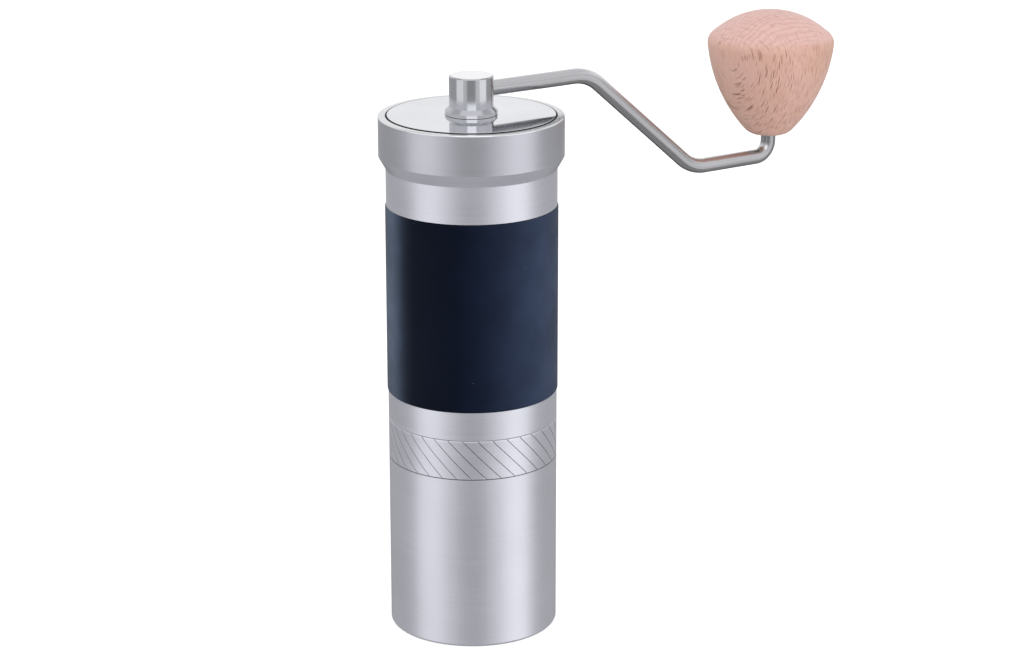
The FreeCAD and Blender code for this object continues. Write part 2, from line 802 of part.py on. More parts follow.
def make_inner_burr():
    body = new_body("inner_burr")
    low, high = size.inner_burr_low, size.inner_burr_high
    edge = 0.5
    cone_low = low + 2
    pocket_floor = high - size.spring_pocket_depth
    add_turned(body, "inner_burr_turning", [
        (0, low),
        (size.inner_burr_radius - edge, low),
        (size.inner_burr_radius, low + edge),
        (size.inner_burr_radius, cone_low),
        (size.inner_burr_top_radius, high),
        (size.spring_pocket_radius, high),
        (size.spring_pocket_radius, pocket_floor),
        (0, pocket_floor),
    ])
    slope = math.degrees(math.atan2(
        size.inner_burr_radius.value - size.inner_burr_top_radius.value,
        high.value - cone_low.value))
    add_burr_teeth(body, "large", count=8, radius=9.4, tip=-1.6, width=4.2, lean=-slope,
                   low=high.value + 1, length=16, skew=-20)
    add_burr_teeth(body, "small", count=32, radius=16.2, tip=-0.6, width=1.6, lean=-slope,
                   low=low.value + 6.4, length=12, skew=-14)
    bore = new_sketch(body, "burr_bore", "XY_Plane")
    draw_circle(bore, 0, 0, size.shaft_radius + size.bore_fit)
    lift_sketch(bore, low)
    doc.recompute()
    add_pocket(body, "burr_bore_cut", bore, pocket_floor - low + CLEAR, reverse=True)
    for number, angle in enumerate(spokes(DETENTS)):
        sketch = new_sketch(body, f"detent_pocket_{number}", "XY_Plane")
        draw_circle(sketch, size.click_radius * round(math.cos(math.radians(angle)), 9),
                    size.click_radius * round(math.sin(math.radians(angle)), 9),
                    size.detent_pocket_radius)
        lift_sketch(sketch, low)
        doc.recompute()
        add_pocket(body, f"detent_pocket_cut_{number}", sketch, size.detent_pocket_depth,
                   reverse=True)
    doc.recompute()
    parts.append(body)


def make_detents():
    """Balls that ride over the dial's click holes, each with its spring above it."""
    ball_height = size.dial_high + size.detent_ball_radius + 0.05
    balls = []
    for number, angle in enumerate(spokes(DETENTS)):
        ball = doc.addObject("Part::Sphere", f"detent_ball_{number}")
        bind(ball, Radius=size.detent_ball_radius, **{
            ".Placement.Base.x": size.click_radius * round(math.cos(math.radians(angle)), 9),
            ".Placement.Base.y": size.click_radius * round(math.sin(math.radians(angle)), 9),
            ".Placement.Base.z": ball_height})
        balls.append(ball)
    group("detent_balls", balls)
    springs = doc.addObject("Part::Feature", "detent_springs")
    low = ball_height.value + size.detent_ball_radius.value + 0.01
    high = size.inner_burr_low.value + size.detent_pocket_depth.value - 0.05
    click = size.click_radius.value
    springs.Shape = Part.makeCompound([
        helical_spring(click * math.cos(math.radians(angle)),
                       click * math.sin(math.radians(angle)),
                       size.detent_spring_radius.value, size.detent_spring_wire.value,
                       low, high, DETENT_SPRING_TURNS)
        for angle in spokes(DETENTS)])
    springs.Placement = FreeCAD.Placement()
    parts.append(springs)


def make_burr_spring():
    spring = doc.addObject("Part::Feature", "burr_spring")
    gap = size.spring_end_gap
    low = size.inner_burr_high - size.spring_pocket_depth + gap
    high = (size.lower_bearing_low - size.shaft_shoulder_height - size.shaft_flange_height
            - gap)
    spring.Shape = helical_spring(0, 0, size.spring_pitch_radius.value, size.spring_wire.value,
                                  low.value, high.value, BURR_SPRING_TURNS)
    spring.Placement = FreeCAD.Placement()
    parts.append(spring)


def make_adjustment_dial():
    body = new_body("adjustment_dial")
    low, high = size.dial_low, size.dial_high
    bore = size.shaft_radius + size.bore_fit
    add_turned(body, "dial_turning", [
        (bore, low),
        (size.dial_radius - size.dial_low_edge, low),
        (size.dial_radius, low + size.dial_low_edge),
        (size.dial_radius, high - size.dial_high_edge),
        (size.dial_radius - size.dial_high_edge, high),
        (bore, high),
    ])
    notch = new_sketch(body, "dial_notch", "XY_Plane")
    draw_circle(notch, size.dial_radius + 0.5, 0, size.dial_notch_radius)
    doc.recompute()
    notch_cut = add_pocket(body, "dial_notch_cut", notch, reverse=True)
    add_ring_of(body, "dial_notches", notch_cut, DIAL_NOTCHES)
    click = new_sketch(body, "dial_click", "XY_Plane")
    draw_circle(click, 0, size.click_radius, size.click_hole_radius)
    lift_sketch(click, high - size.click_hole_depth)
    doc.recompute()
    click_cut = add_pocket(body, "dial_click_cut", click, CLEAR, reverse=True)
    add_ring_of(body, "dial_clicks", click_cut, DIAL_CLICKS)
    parts.append(body)


# ---------------------------------------------------------------- lid

def make_lid():
    low = size.lid_seat_height + size.lid_gap
    high = size.collar_top + size.lid_rise
    lower_lip = size.lid_radius - 0.3
    groove_low = low + size.lid_lower_lip
    groove_high = high - size.lid_upper_lip
    turned_part("lid_disc", [
        (size.lid_bore_radius, low),
        (lower_lip, low),
        (lower_lip, groove_low),
        (size.lid_groove_radius, groove_low),
        (size.lid_groove_radius, groove_high),
        (size.lid_radius, groove_high),
        (size.lid_radius, high - size.lid_edge),
        (size.lid_radius - size.lid_edge, high),
        (size.lid_bore_radius, high),
    ])

    # the gasket's root sits in the groove and its lip stands up round the disc's edge
    inner = size.lid_groove_radius + size.gasket_gap
    lip_inner = size.lid_radius + size.gasket_gap
    edge = size.gasket_edge
    lip_edge = size.gasket_lip_edge
    gasket_low = groove_low + size.gasket_gap
    root_high = groove_high - size.gasket_gap
    gasket_high = high - size.gasket_gap
    turned_part("lid_gasket", [
        (inner, gasket_low),
        (size.gasket_radius - edge, gasket_low),
        (size.gasket_radius, gasket_low + edge),
        (size.gasket_radius, gasket_high - lip_edge),
        (size.gasket_radius - lip_edge, gasket_high),
        (lip_inner, gasket_high),
        (lip_inner, root_high),
        (inner, root_high),
    ])


# ---------------------------------------------------------------- crank

def make_crank_hub():
    body = new_body("crank_hub")
    top = size.hub_top
    flare = size.hub_flange_radius - size.hub_radius
    flange_low = size.collar_top + size.lid_rise + size.lid_gap
    flange_top = size.collar_top + size.hub_flange_height
    clip_high = size.lid_seat_height - size.clip_gap
    clip_low = clip_high - size.lid_clip_width
    clip_radius = size.hub_boss_radius - size.lid_clip_depth
    add_turned(body, "hub_turning", [
        (0, size.hub_bottom),
        (size.hub_boss_radius - size.hub_boss_edge, size.hub_bottom),
        (size.hub_boss_radius, size.hub_bottom + size.hub_boss_edge),
        (size.hub_boss_radius, clip_low),
        (clip_radius, clip_low),
        (clip_radius, clip_high),
        (size.hub_boss_radius, clip_high),
        (size.hub_boss_radius, flange_low),
        (size.hub_flange_radius, flange_low),
        (size.hub_flange_radius, flange_top),
        (size.hub_radius, flange_top + flare),
        (size.hub_radius, top - size.hub_edge),
        (size.hub_radius - size.hub_edge, top),
        (0, top),
    ])
    socket = new_sketch(body, "shaft_socket", "XY_Plane")
    draw_outline(socket, hexagon_points(size.socket_flats))
    lift_sketch(socket, size.hub_bottom)
    doc.recompute()
    add_pocket(body, "shaft_socket_cut", socket, size.socket_top - size.hub_bottom, reverse=True)
    screw_hole = new_sketch(body, "hub_screw_hole", "XY_Plane")
    draw_circle(screw_hole, 0, 0, size.set_screw_radius + size.seat_fit)
    lift_sketch(screw_hole, size.socket_top)
    doc.recompute()
    add_pocket(body, "hub_screw_hole_cut", screw_hole, size.arm_height - size.socket_top,
               reverse=True)
    rod_hole = new_sketch(body, "rod_hole", "YZ_Plane")
    draw_circle(rod_hole, 0, size.arm_height, size.rod_radius + size.rod_fit)
    lift_sketch(rod_hole, size.rod_start - 0.1)
    doc.recompute()
    add_pocket(body, "rod_hole_cut", rod_hole, size.hub_radius - size.rod_start + CLEAR,
               reverse=True)
    parts.append(body)

    low = size.socket_top + 0.4
    shank = cylinder("hub_screw_shank", size.set_screw_radius, low,
                     size.arm_height - size.rod_radius - size.rod_fit)
    drive = doc.addObject("Part::Prism", "hub_screw_drive")
    drive.Polygon = 6
    bind(drive, Circumradius=size.set_screw_socket, Height=1.6 + CLEAR)
    drive.setExpression(".Placement.Base.z", (low - CLEAR).text)
    parts.append(cut("hub_set_screw", shank, drive))


def arm_path():
    """Corners of the rod's centre line with the bend radius at each, in the XZ plane."""
    return [
        (size.rod_start, size.arm_height, None),
        (size.upper_bend_reach, size.arm_height, size.upper_bend),
        (size.lower_bend_reach, size.arm_low, size.lower_bend),
        (size.knob_reach, size.arm_low, size.spindle_bend),
        (size.knob_reach, size.spindle_top, None),
    ]


def draw_bent_path(sketch, corners):
    """Draw straight runs and round each corner with a tangent arc of its own radius."""
    runs = []
    for (x, y, _), (next_x, next_y, _) in zip(corners, corners[1:]):
        runs.append(Part.LineSegment(FreeCAD.Vector(x.value, y.value, 0),
                                     FreeCAD.Vector(next_x.value, next_y.value, 0)))
    sketch.addGeometry(runs, False)
    for index in range(len(runs) - 1):
        sketch.addConstraint(Sketcher.Constraint("Coincident", index, 2, index + 1, 1))
    places = [(index, 1, x, y) for index, (x, y, _) in enumerate(corners[:-1])]
    places.append((len(runs) - 1, 2, corners[-1][0], corners[-1][1]))
    for index, end, x, y in places:
        for kind, length in (("DistanceX", x), ("DistanceY", y)):
            number = sketch.addConstraint(Sketcher.Constraint(kind, index, end, length.value))
            sketch.renameConstraint(number, f"{kind}_{index}_{end}")
            sketch.setExpression(f"Constraints.{kind}_{index}_{end}", length.text)
    for index in range(len(runs) - 1):
        radius = corners[index + 1][2]
        sketch.fillet(index, 2, radius.value, True, True)
        arc = sketch.GeometryCount - 1
        while not isinstance(sketch.Geometry[arc], Part.ArcOfCircle):
            arc -= 1
        number = sketch.addConstraint(Sketcher.Constraint("Radius", arc, radius.value))
        sketch.setExpression(f"Constraints[{number}]", radius.text)


def make_crank_arm():
    body = new_body("crank_arm")
    path = new_sketch(body, "rod_path")
    draw_bent_path(path, arm_path())
    section = new_sketch(body, "rod_section", "YZ_Plane")
    draw_circle(section, 0, size.arm_height, size.rod_radius)
    lift_sketch(section, size.rod_start)
    doc.recompute()
    rod = body.newObject("PartDesign::AdditivePipe", "rod")
    rod.Profile = (section, [""])
    rod.Spine = (path, [])
    body.Tip = rod
    doc.recompute()
    groove = new_sketch(body, "snap_groove_outline")
    low = size.spindle_top - 2.2
    high = low + 1.2
    inner = size.knob_reach + 2.1
    outer = size.knob_reach + size.rod_radius + CLEAR
    draw_outline(groove, [(inner, low), (outer, low), (outer, high), (inner, high)])
    axis = groove.addGeometry(Part.LineSegment(
        FreeCAD.Vector(size.knob_reach.value, low.value, 0),
        FreeCAD.Vector(size.knob_reach.value, high.value, 0)), True)
    for end, height in ((1, low), (2, high)):
        for kind, length in (("DistanceX", size.knob_reach), ("DistanceY", height)):
            number = groove.addConstraint(Sketcher.Constraint(kind, axis, end, length.value))
            groove.setExpression(f"Constraints[{number}]", length.text)
    doc.recompute()
    cut_groove = body.newObject("PartDesign::Groove", "snap_groove")
    cut_groove.Profile = (groove, [""])
    cut_groove.ReferenceAxis = (groove, ["Axis0"])
    cut_groove.Angle = 360
    body.Tip = cut_groove
    parts.append(body)


# ---------------------------------------------------------------- knob

def move_to_knob(body):
    body.setExpression(".Placement.Base.x", size.knob_reach.text)


def make_knob():
    low, high = size.knob_low, size.knob_top
    bore = size.bush_radius + size.seat_fit
    bore_top = size.spindle_top + size.knob_bore_headroom
    knob = turned_part("knob", [
        (bore, low),
        (size.knob_foot_radius, low),
        (size.knob_waist_radius, low + size.knob_waist_rise),
        (size.knob_shoulder_radius, low + size.knob_shoulder_rise),
        (size.knob_rim_radius, low + size.knob_rim_rise),
        (0, high),
        (0, bore_top),
        (bore, bore_top),
    ], arcs={1: (size.knob_foot_round, 1), 2: (size.knob_side_round, 1),
             3: (size.knob_shoulder_round, 1), 4: (None, 1)})
    move_to_knob(knob)
    bush_bore = size.rod_radius + size.bush_gap
    bush_low = low + 0.4
    bush_top = size.spindle_top + 1.6
    groove_low = size.spindle_top - 2.4
    groove_high = groove_low + 1.6
    bush = turned_part("knob_bush", [
        (bush_bore, bush_low),
        (size.bush_radius, bush_low),
        (size.bush_radius, bush_top),
        (bush_bore, bush_top),
        (bush_bore, groove_high),
        (size.snap_ring_room, groove_high),
        (size.snap_ring_room, groove_low),
        (bush_bore, groove_low),
    ])
    move_to_knob(bush)
    ring_low = size.spindle_top - 2.1
    make_circlip("knob_snap_ring", 2.16, size.snap_ring_room - 0.2, ring_low, 1.0, 1.2, 0)
    move_to_knob(parts[-1])


# ---------------------------------------------------------------- assembly

def build():
    make_catch_cup()
    make_seal_ring()
    make_body_tube()
    make_grip_sleeve()
    make_bracket("upper_bracket", size.upper_bearing_low, True, size.upper_bearing_low - 1.5)
    make_bracket("lower_bracket", size.lower_bearing_low, False, size.lower_bearing_low + 1,
                 size.bracket_screw_height)
    make_set_screws("bracket_set_screws", size.bracket_screw_height, 18.2)
    make_outer_burr()
    make_set_screws("burr_set_screws", size.burr_screw_height, 22.5)
    make_bearing("upper", size.upper_bearing_low)
    make_bearing("lower", size.lower_bearing_low)
    upper_clip = size.upper_bearing_low + size.bearing_width
    lower_clip = size.lower_bearing_low - size.clip_gap - size.clip_thickness
    shaft_clip_bore = size.shaft_radius - size.shaft_clip_depth + size.clip_gap
    lid_clip_bore = size.hub_boss_radius - size.lid_clip_depth + size.clip_gap
    make_circlip("upper_bearing_circlip", 7.2, 8.5, upper_clip + size.clip_gap,
                 size.clip_thickness, 3.0, 45)
    make_circlip("lower_bearing_circlip", 7.2, 8.5, lower_clip, size.clip_thickness, 3.0, 45)
    make_circlip("shaft_circlip", shaft_clip_bore, 5.6, upper_clip + size.clip_gap,
                 size.clip_thickness, 3.0, 225)
    make_circlip("lid_circlip", lid_clip_bore, 8.3, size.lid_seat_height - size.lid_clip_width,
                 0.9, 4.0, 225)
    make_drive_shaft()
    make_shaft_spacer()
    make_burr_spring()
    make_inner_burr()
    make_detents()
    make_adjustment_dial()
    make_lid()
    make_crank_hub()
    make_crank_arm()
    make_knob()


def check_and_export():
    """Stop if anything failed, then write each part to its own file."""
    doc.recompute()
    for item in doc.Objects:
        if "Invalid" in item.State or "Error" in item.State:
            raise RuntimeError(f"{item.Label} failed: {item.State}")
    os.makedirs("parts", exist_ok=True)
    for part in parts:
        shape = part.Shape
        if shape.isNull() or not shape.isValid() or not shape.Solids:
            raise RuntimeError(f"{part.Label} has no valid solid")
        shape.exportStep(f"parts/{part.Label}.step")
        print(f"{part.Label}: {len(shape.Solids)} solid(s), {shape.Volume:.1f} mm3")


build()
check_and_export()
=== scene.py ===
import math

import bpy
from mathutils import Matrix, Vector


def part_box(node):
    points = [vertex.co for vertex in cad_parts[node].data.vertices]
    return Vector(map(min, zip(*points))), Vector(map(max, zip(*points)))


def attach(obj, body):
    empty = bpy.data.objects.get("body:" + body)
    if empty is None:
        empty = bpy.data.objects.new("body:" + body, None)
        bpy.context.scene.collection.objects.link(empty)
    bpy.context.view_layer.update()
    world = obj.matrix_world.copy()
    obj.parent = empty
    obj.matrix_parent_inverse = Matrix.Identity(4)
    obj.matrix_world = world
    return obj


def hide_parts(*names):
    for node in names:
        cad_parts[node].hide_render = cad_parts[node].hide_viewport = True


# Hand crank coffee grinder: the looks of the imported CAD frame.
# The frame is in metres; the outlines below are in millimetres, as in the design.

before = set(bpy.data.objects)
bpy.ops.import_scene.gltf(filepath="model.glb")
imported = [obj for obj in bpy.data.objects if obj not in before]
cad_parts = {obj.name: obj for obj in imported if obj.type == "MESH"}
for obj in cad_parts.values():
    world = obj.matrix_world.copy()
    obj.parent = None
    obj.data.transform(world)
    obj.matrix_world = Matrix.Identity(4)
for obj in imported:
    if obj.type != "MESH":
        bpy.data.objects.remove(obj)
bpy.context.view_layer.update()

MM = 0.001
FRONT_AZIMUTH = math.radians(-122.4)   # the way from the shaft's axis to the camera


def in_mm(node):
    """Lowest and highest corner of a CAD node, in millimetres."""
    low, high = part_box(node)
    return low / MM, high / MM


# ---------------------------------------------------------------- sizes read from the frame

_, cup_high = in_mm("catch_cup")
tube_low, tube_high = in_mm("body_tube")
grip_low, grip_high = in_mm("grip_sleeve")
lid_low, lid_high = in_mm("lid_disc")
gasket_low, gasket_high = in_mm("lid_gasket")
_, arm_high = in_mm("crank_arm")
knob_low, knob_high = in_mm("knob")
seal_low, seal_high = in_mm("cup_seal_ring")

TUBE_RADIUS = cup_high.x
SEAM = tube_low.z
COLLAR_RADIUS = tube_high.x
COLLAR_TOP = tube_high.z
ROD_RADIUS = arm_high.y
KNOB_AXIS = (knob_low.x + knob_high.x) / 2

GAP = 0.05    # what keeps two pieces of the same body from touching

# catch cup: sizes that no box gives, as in the design
BAND_LOW = 58.0
BASE_HOLLOW = 0.35
BASE_HOLLOW_RADIUS = 19.6
BASE_RING_RADIUS = 20.2
BASE_ROUND = 0.9
NECK_RADIUS = 25.6
CUP_BORE = 23.8
CUP_FLOOR = 2.4
CUP_FLOOR_ROUND = 3.0
SEAL_ROOM = 0.15
SEAL_GROOVE_DEPTH = 1.1
THREAD_PITCH = 1.2
THREAD_DEPTH = 0.42
THREAD_END = 0.7      # plain neck below and above the thread

# the engraved band: slanting lines between two rings
LINE_COUNT = 36
LINE_LEAN = math.radians(25.9)
LINE_PHASE = math.radians(6.7)
LINE_HALF_WIDTH = 0.14
LINE_DEPTH = 0.15
RING_STEPS = 9        # rows across the lower ring
BAND_STEPS = 18       # rows up the slanting lines
FLAT_STEPS = 7        # columns between two lines

# body tube and lid
SLEEVE_SEAT = 26.0
THREAD_BORE = NECK_RADIUS + 0.2
THREAD_BORE_END = 0.6
TUBE_BORE = 24.0
TUBE_BORE_LOW = 2.4
MOUTH_RADIUS = 25.4
MOUTH_DEPTH = 4.6
FUNNEL_DEPTH = 7.6
LID_SEAT_RADIUS = 27.4
LID_SEAT = 167.6
LID_BORE = 6.6
LID_EDGE_STEP = 0.3
LID_LIP = 0.5
GASKET_ROOT = 25.6
FLARE_LOW = 154.5
COLLAR_LOW = 158.5

# crank arm, with the radius of each bend at the rod's middle
ARM_START = -3.1
ARM_HEIGHT = 179.2
ARM_DROP = 142.3
SHOULDER_BEND = (44.9, 15.0)
ELBOW_BEND = (87.8, 14.0)
KNOB_BEND = 5.2
ARM_SIDES = 56

# knob, heights from its foot
KNOB_BORE = 4.77
KNOB_BORE_DEPTH = 20.0
KNOB_BORE_ROUND = 0.3
FOOT_RADIUS = 5.4
FOOT_ROUND = 6.1
WAIST = (8.67, 2.12)
SIDE_ROUND = 51.4
SHOULDER = (21.35, 30.8)
SHOULDER_ROUND = 4.4
RIM = (19.1, 35.1)
KNOB_SEGMENTS = 200

FINE_SEGMENTS = 300   # facets round the tube, the sleeve and the lid


# ---------------------------------------------------------------- mesh helpers

def round_corners(corners, closed=True, steps=5):
    """Replace each corner (x, y, radius) by a tangent arc; ends of an open outline stay."""
    count = len(corners)
    outline = []
    for index, (x, y, radius) in enumerate(corners):
        here = Vector((x, y))
        if radius <= 0 or (not closed and index in (0, count - 1)):
            outline.append(here)
            continue
        before = Vector(corners[index - 1][:2]) - here
        after = Vector(corners[(index + 1) % count][:2]) - here
        half = before.angle(after) / 2
        most = 0.49 * min(before.length, after.length)
        reach = min(radius / math.tan(half), most)
        radius = reach * math.tan(half)
        toward = (before.normalized() + after.normalized()).normalized()
        centre = here + toward * (radius / math.sin(half))
        start = here + before.normalized() * reach - centre
        end = here + after.normalized() * reach - centre
        first = math.atan2(start.y, start.x)
        sweep = math.atan2(end.y, end.x) - first
        sweep = (sweep + math.pi) % (2 * math.pi) - math.pi
        for step in range(steps + 1):
            angle = first + sweep * step / steps
            outline.append(centre + Vector((math.cos(angle), math.sin(angle))) * radius)
    return outline


def turned_mesh(name, rows, columns, place, closed=True):
    """Mesh of a turned piece: place(row, column) gives each point in millimetres.

    A row whose radius is zero becomes a single point.
    """
    points = []
    starts = []
    for row in rows:
        pole = row[0] < 1e-6
        starts.append((len(points), pole))
        if pole:
            points.append(Vector((0, 0, row[1])) * MM)
        else:
            points.extend(Vector(place(row, column)) * MM for column in columns)
    width = len(columns)
    faces = []
    last = len(rows) if closed else len(rows) - 1
    for index in range(last):
        low, low_pole = starts[index]
        high, high_pole = starts[(index + 1) % len(rows)]
        if low_pole and high_pole:
            continue
        for column in range(width):
            beside = (column + 1) % width
            if low_pole:
                faces.append((low, high + beside, high + column))
            elif high_pole:
                faces.append((low + column, low + beside, high))
            else:
                faces.append((low + column, low + beside, high + beside, high + column))
    mesh = bpy.data.meshes.new(name)
    mesh.from_pydata(points, [], faces)
    mesh.update()
    return mesh


def add_piece(name, mesh, body, materials, replaces, sharp=40.0):
    """Put a mesh in the scene as a finished piece that rides on a body.

    Edges that turn by more than sharp degrees stay crisp.
    """
    piece = bpy.data.objects.new(name, mesh)
    bpy.context.scene.collection.objects.link(piece)
    for material in materials:
        mesh.materials.append(material)
    mesh.shade_smooth()
    mesh.set_sharp_from_angle(angle=math.radians(sharp))
    weighted = piece.modifiers.new("even_normals", "WEIGHTED_NORMAL")
    weighted.keep_sharp = True
    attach(piece, body)
    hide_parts(*replaces)
    return piece


def plain_turn(name, rows, segments, closed=True):
    """Mesh of a turned piece with no change round its axis, from (radius, height) rows."""
    angles = [2 * math.pi * index / segments for index in range(segments)]
    return turned_mesh(name, rows, angles, lambda row, angle: (
        row[0] * math.cos(angle), row[0] * math.sin(angle), row[1]), closed)


def turned_piece(name, corners, body, materials, replaces):
    """A plain turned piece from an outline of (radius, height, corner radius) points."""
    mesh = plain_turn(name, [tuple(point) for point in round_corners(corners)], FINE_SEGMENTS)
    return add_piece(name, mesh, body, materials, replaces)


def paint_faces(mesh, index, chosen):
    """Give a material index to every face whose centre, as (radius, height) in mm, is chosen."""
    for face in mesh.polygons:
        middle = face.center / MM
        if chosen(math.hypot(middle.x, middle.y), middle.z):
            face.material_index = index


# ---------------------------------------------------------------- node helpers

class Nodes:
    """Short calls for building the nodes of a material or of the world."""

    def __init__(self, tree):
        self.tree = tree

    def add(self, kind, links=None, values=None, **settings):
        """A new node, with its inputs linked to outputs or given plain values."""
        node = self.tree.nodes.new(kind)
        for key, value in settings.items():
            setattr(node, key, value)
        for key, value in (values or {}).items():
            node.inputs[key].default_value = value
        for key, source in (links or {}).items():
            self.link(source, node.inputs[key])
        return node

    def link(self, source, target):
        self.tree.links.new(source, target)

    def math(self, operation, first, second=None, third=None):
        """One step of arithmetic on outputs or plain numbers."""
        node = self.add("ShaderNodeMath", operation=operation)
        for socket, value in zip(node.inputs, (first, second, third)):
            if isinstance(value, (int, float)):
                socket.default_value = value
            elif value is not None:
                self.link(value, socket)
        return node.outputs[0]

    def span(self, value, low, high, out_low=0.0, out_high=1.0, curve="LINEAR"):
        """Map a value from one span to another, held within it."""
        node = self.add("ShaderNodeMapRange", links={"Value": value},
                        values={"From Min": low, "From Max": high, "To Min": out_low,
                                "To Max": out_high}, interpolation_type=curve)
        return node.outputs[0]

    def ramp(self, value, stops, curve):
        """Colour of a value along stops of (place, colour)."""
        node = self.add("ShaderNodeValToRGB", links={"Fac": value})
        node.color_ramp.interpolation = curve
        while len(node.color_ramp.elements) < len(stops):
            node.color_ramp.elements.new(0.5)
        for element, (place, tone) in zip(node.color_ramp.elements, stops):
            element.position = place
            element.color = tone
        return node.outputs[0]


class Graph(Nodes):
    """The nodes of one material."""

    def __init__(self, name):
        self.material = bpy.data.materials.new(name)
        self.material.use_nodes = True
        super().__init__(self.material.node_tree)
        self.shader = self.tree.nodes["Principled BSDF"]

    def finish(self, base, roughness):
        """Link the base colour and the roughness, and give back the material."""
        self.link(base, self.shader.inputs["Base Color"])
        self.link(roughness, self.shader.inputs["Roughness"])
        return self.material

    def set(self, **values):
        """Set plain values on the shader, by its socket names with _ for spaces."""
        for key, value in values.items():
            self.shader.inputs[key.replace("_", " ")].default_value = value

    def position(self, scale=(1, 1, 1), turn=(0, 0, 0), offset=(0, 0, 0)):
        """Object coordinates in millimetres, then moved, turned and scaled."""
        coordinates = self.add("ShaderNodeTexCoord")
        metric = self.add("ShaderNodeVectorMath", operation="SCALE",
                          links={0: coordinates.outputs["Object"]}, values={"Scale": 1000.0})
        moved = self.add("ShaderNodeVectorMath", operation="ADD",
                         links={0: metric.outputs[0]}, values={1: offset})
        mapping = self.add("ShaderNodeMapping", links={"Vector": moved.outputs[0]},
                           values={"Rotation": turn, "Scale": scale})
        return mapping.outputs[0]

    def facing(self):
        """The surface's own normal, split into X, Y and Z."""
        normal = self.add("ShaderNodeTexCoord").outputs["Normal"]
        return self.add("ShaderNodeSeparateXYZ", links={0: normal}).outputs

    def noise(self, vector, scale, detail=2.0, roughness=0.5):
        node = self.add("ShaderNodeTexNoise", links={"Vector": vector},
                        values={"Scale": scale, "Detail": detail, "Roughness": roughness})
        return node.outputs["Fac"]

    def mix(self, factor, first, second, blend="MIX"):
        node = self.add("ShaderNodeMix", data_type="RGBA", blend_type=blend)
        for socket, value in ((node.inputs["Factor"], factor), (node.inputs[6], first),
                              (node.inputs[7], second)):
            if isinstance(value, (int, float, tuple)):
                socket.default_value = value
            else:
                self.link(value, socket)
        return node.outputs[2]

    def bump(self, height, distance, strength=1.0):
        """Fine relief, its depth in metres."""
        node = self.add("ShaderNodeBump", links={"Height": height},
                        values={"Distance": distance, "Strength": strength})
        self.link(node.outputs[0], self.shader.inputs["Normal"])

    def ring_tangent(self):
        """Let the gloss follow turning lines round the Z axis."""
        node = self.add("ShaderNodeTangent", direction_type="RADIAL", axis="Z")
        self.link(node.outputs[0], self.shader.inputs["Tangent"])


def shaded(tone, factor):
    """A linear colour made darker or lighter."""
    return tuple(min(1.0, channel * factor) for channel in tone[:3]) + (1.0,)


def colour(red, green, blue):
    """A linear colour from the usual 0 to 255 display values."""
    def linear(value):
        value /= 255
        return value / 12.92 if value <= 0.04045 else ((value + 0.055) / 1.055) ** 2.4
    return linear(red), linear(green), linear(blue), 1.0


# ---------------------------------------------------------------- metals

def turned_metal(name, base, roughness, spread, anisotropy, line_scale=6.0, depth=0.000002,
                 worn=0.0, top=None, top_from=(0.98, 0.995)):
    """Metal with fine turning lines round the Z axis and slight changes in its gloss.

    The gloss changes by spread either way, worn is how bright the edges are rubbed, and top is
    a painted highlight: a lighter second colour for the faces that look up, standing in for
    light from above, which comes in over the range top_from of the upward part of their normal.
    """
    graph = Graph(name)
    lines = graph.position(scale=(0.02, 0.02, line_scale))
    fine = graph.noise(lines, 1.0, detail=4.0, roughness=0.65)
    cloud = graph.noise(graph.position(), 0.05, detail=3.0)
    grain = graph.noise(graph.position(), 9.0, detail=2.0)
    tone = graph.math("ADD", graph.span(fine, 0.3, 0.7, -0.5, 0.5),
                      graph.span(cloud, 0.3, 0.7, -0.5, 0.5))
    surface = graph.mix(graph.span(tone, -0.8, 0.8), shaded(base, 0.93), shaded(base, 1.05))
    # painted highlight: the faces that look up take the lighter top colour
    if top:
        surface = graph.mix(graph.span(graph.facing()[2], *top_from), surface, top)
    gloss = graph.math("ADD", graph.span(fine, 0.3, 0.7, roughness - spread, roughness + spread),
                       graph.span(grain, 0.3, 0.7, -spread, spread))
    if worn:
        point = graph.add("ShaderNodeNewGeometry").outputs["Pointiness"]
        edge = graph.span(point, 0.52, 0.58)
        surface = graph.mix(graph.math("MULTIPLY", edge, worn), surface, shaded(base, 1.2))
        gloss = graph.math("SUBTRACT", gloss, graph.math("MULTIPLY", edge, worn * 0.12))
    graph.set(Metallic=1.0, Anisotropic=anisotropy)
    if anisotropy:
        graph.ring_tangent()
    graph.bump(graph.math("ADD", fine, graph.math("MULTIPLY", grain, 0.6)), depth)
    return graph.finish(surface, gloss)


def anodised_aluminium(name, dark, light):
    """Bead-blasted and clear anodised aluminium: fine even grain over faint turning lines."""
    graph = Graph(name)
    grain = graph.noise(graph.position(), 7.0, detail=3.0, roughness=0.7)
    lines = graph.noise(graph.position(scale=(0.01, 0.01, 2.2)), 1.0, detail=3.0, roughness=0.6)
    cloud = graph.noise(graph.position(), 0.035, detail=2.0)
    tone = graph.math("ADD", graph.span(grain, 0.35, 0.65, -0.35, 0.35),
                      graph.math("ADD", graph.span(lines, 0.3, 0.7, -0.4, 0.4),
                                 graph.span(cloud, 0.3, 0.7, -0.5, 0.5)))
    gloss = graph.math("ADD", graph.span(grain, 0.3, 0.7, 0.30, 0.38),
                       graph.span(lines, 0.3, 0.7, -0.03, 0.03))
    graph.set(Metallic=1.0, Anisotropic=0.45)
    graph.ring_tangent()
    graph.bump(grain, 0.0000025)
    return graph.finish(graph.mix(graph.span(tone, -1.0, 1.0), dark, light), gloss)


# ---------------------------------------------------------------- silicone, plastic and wood

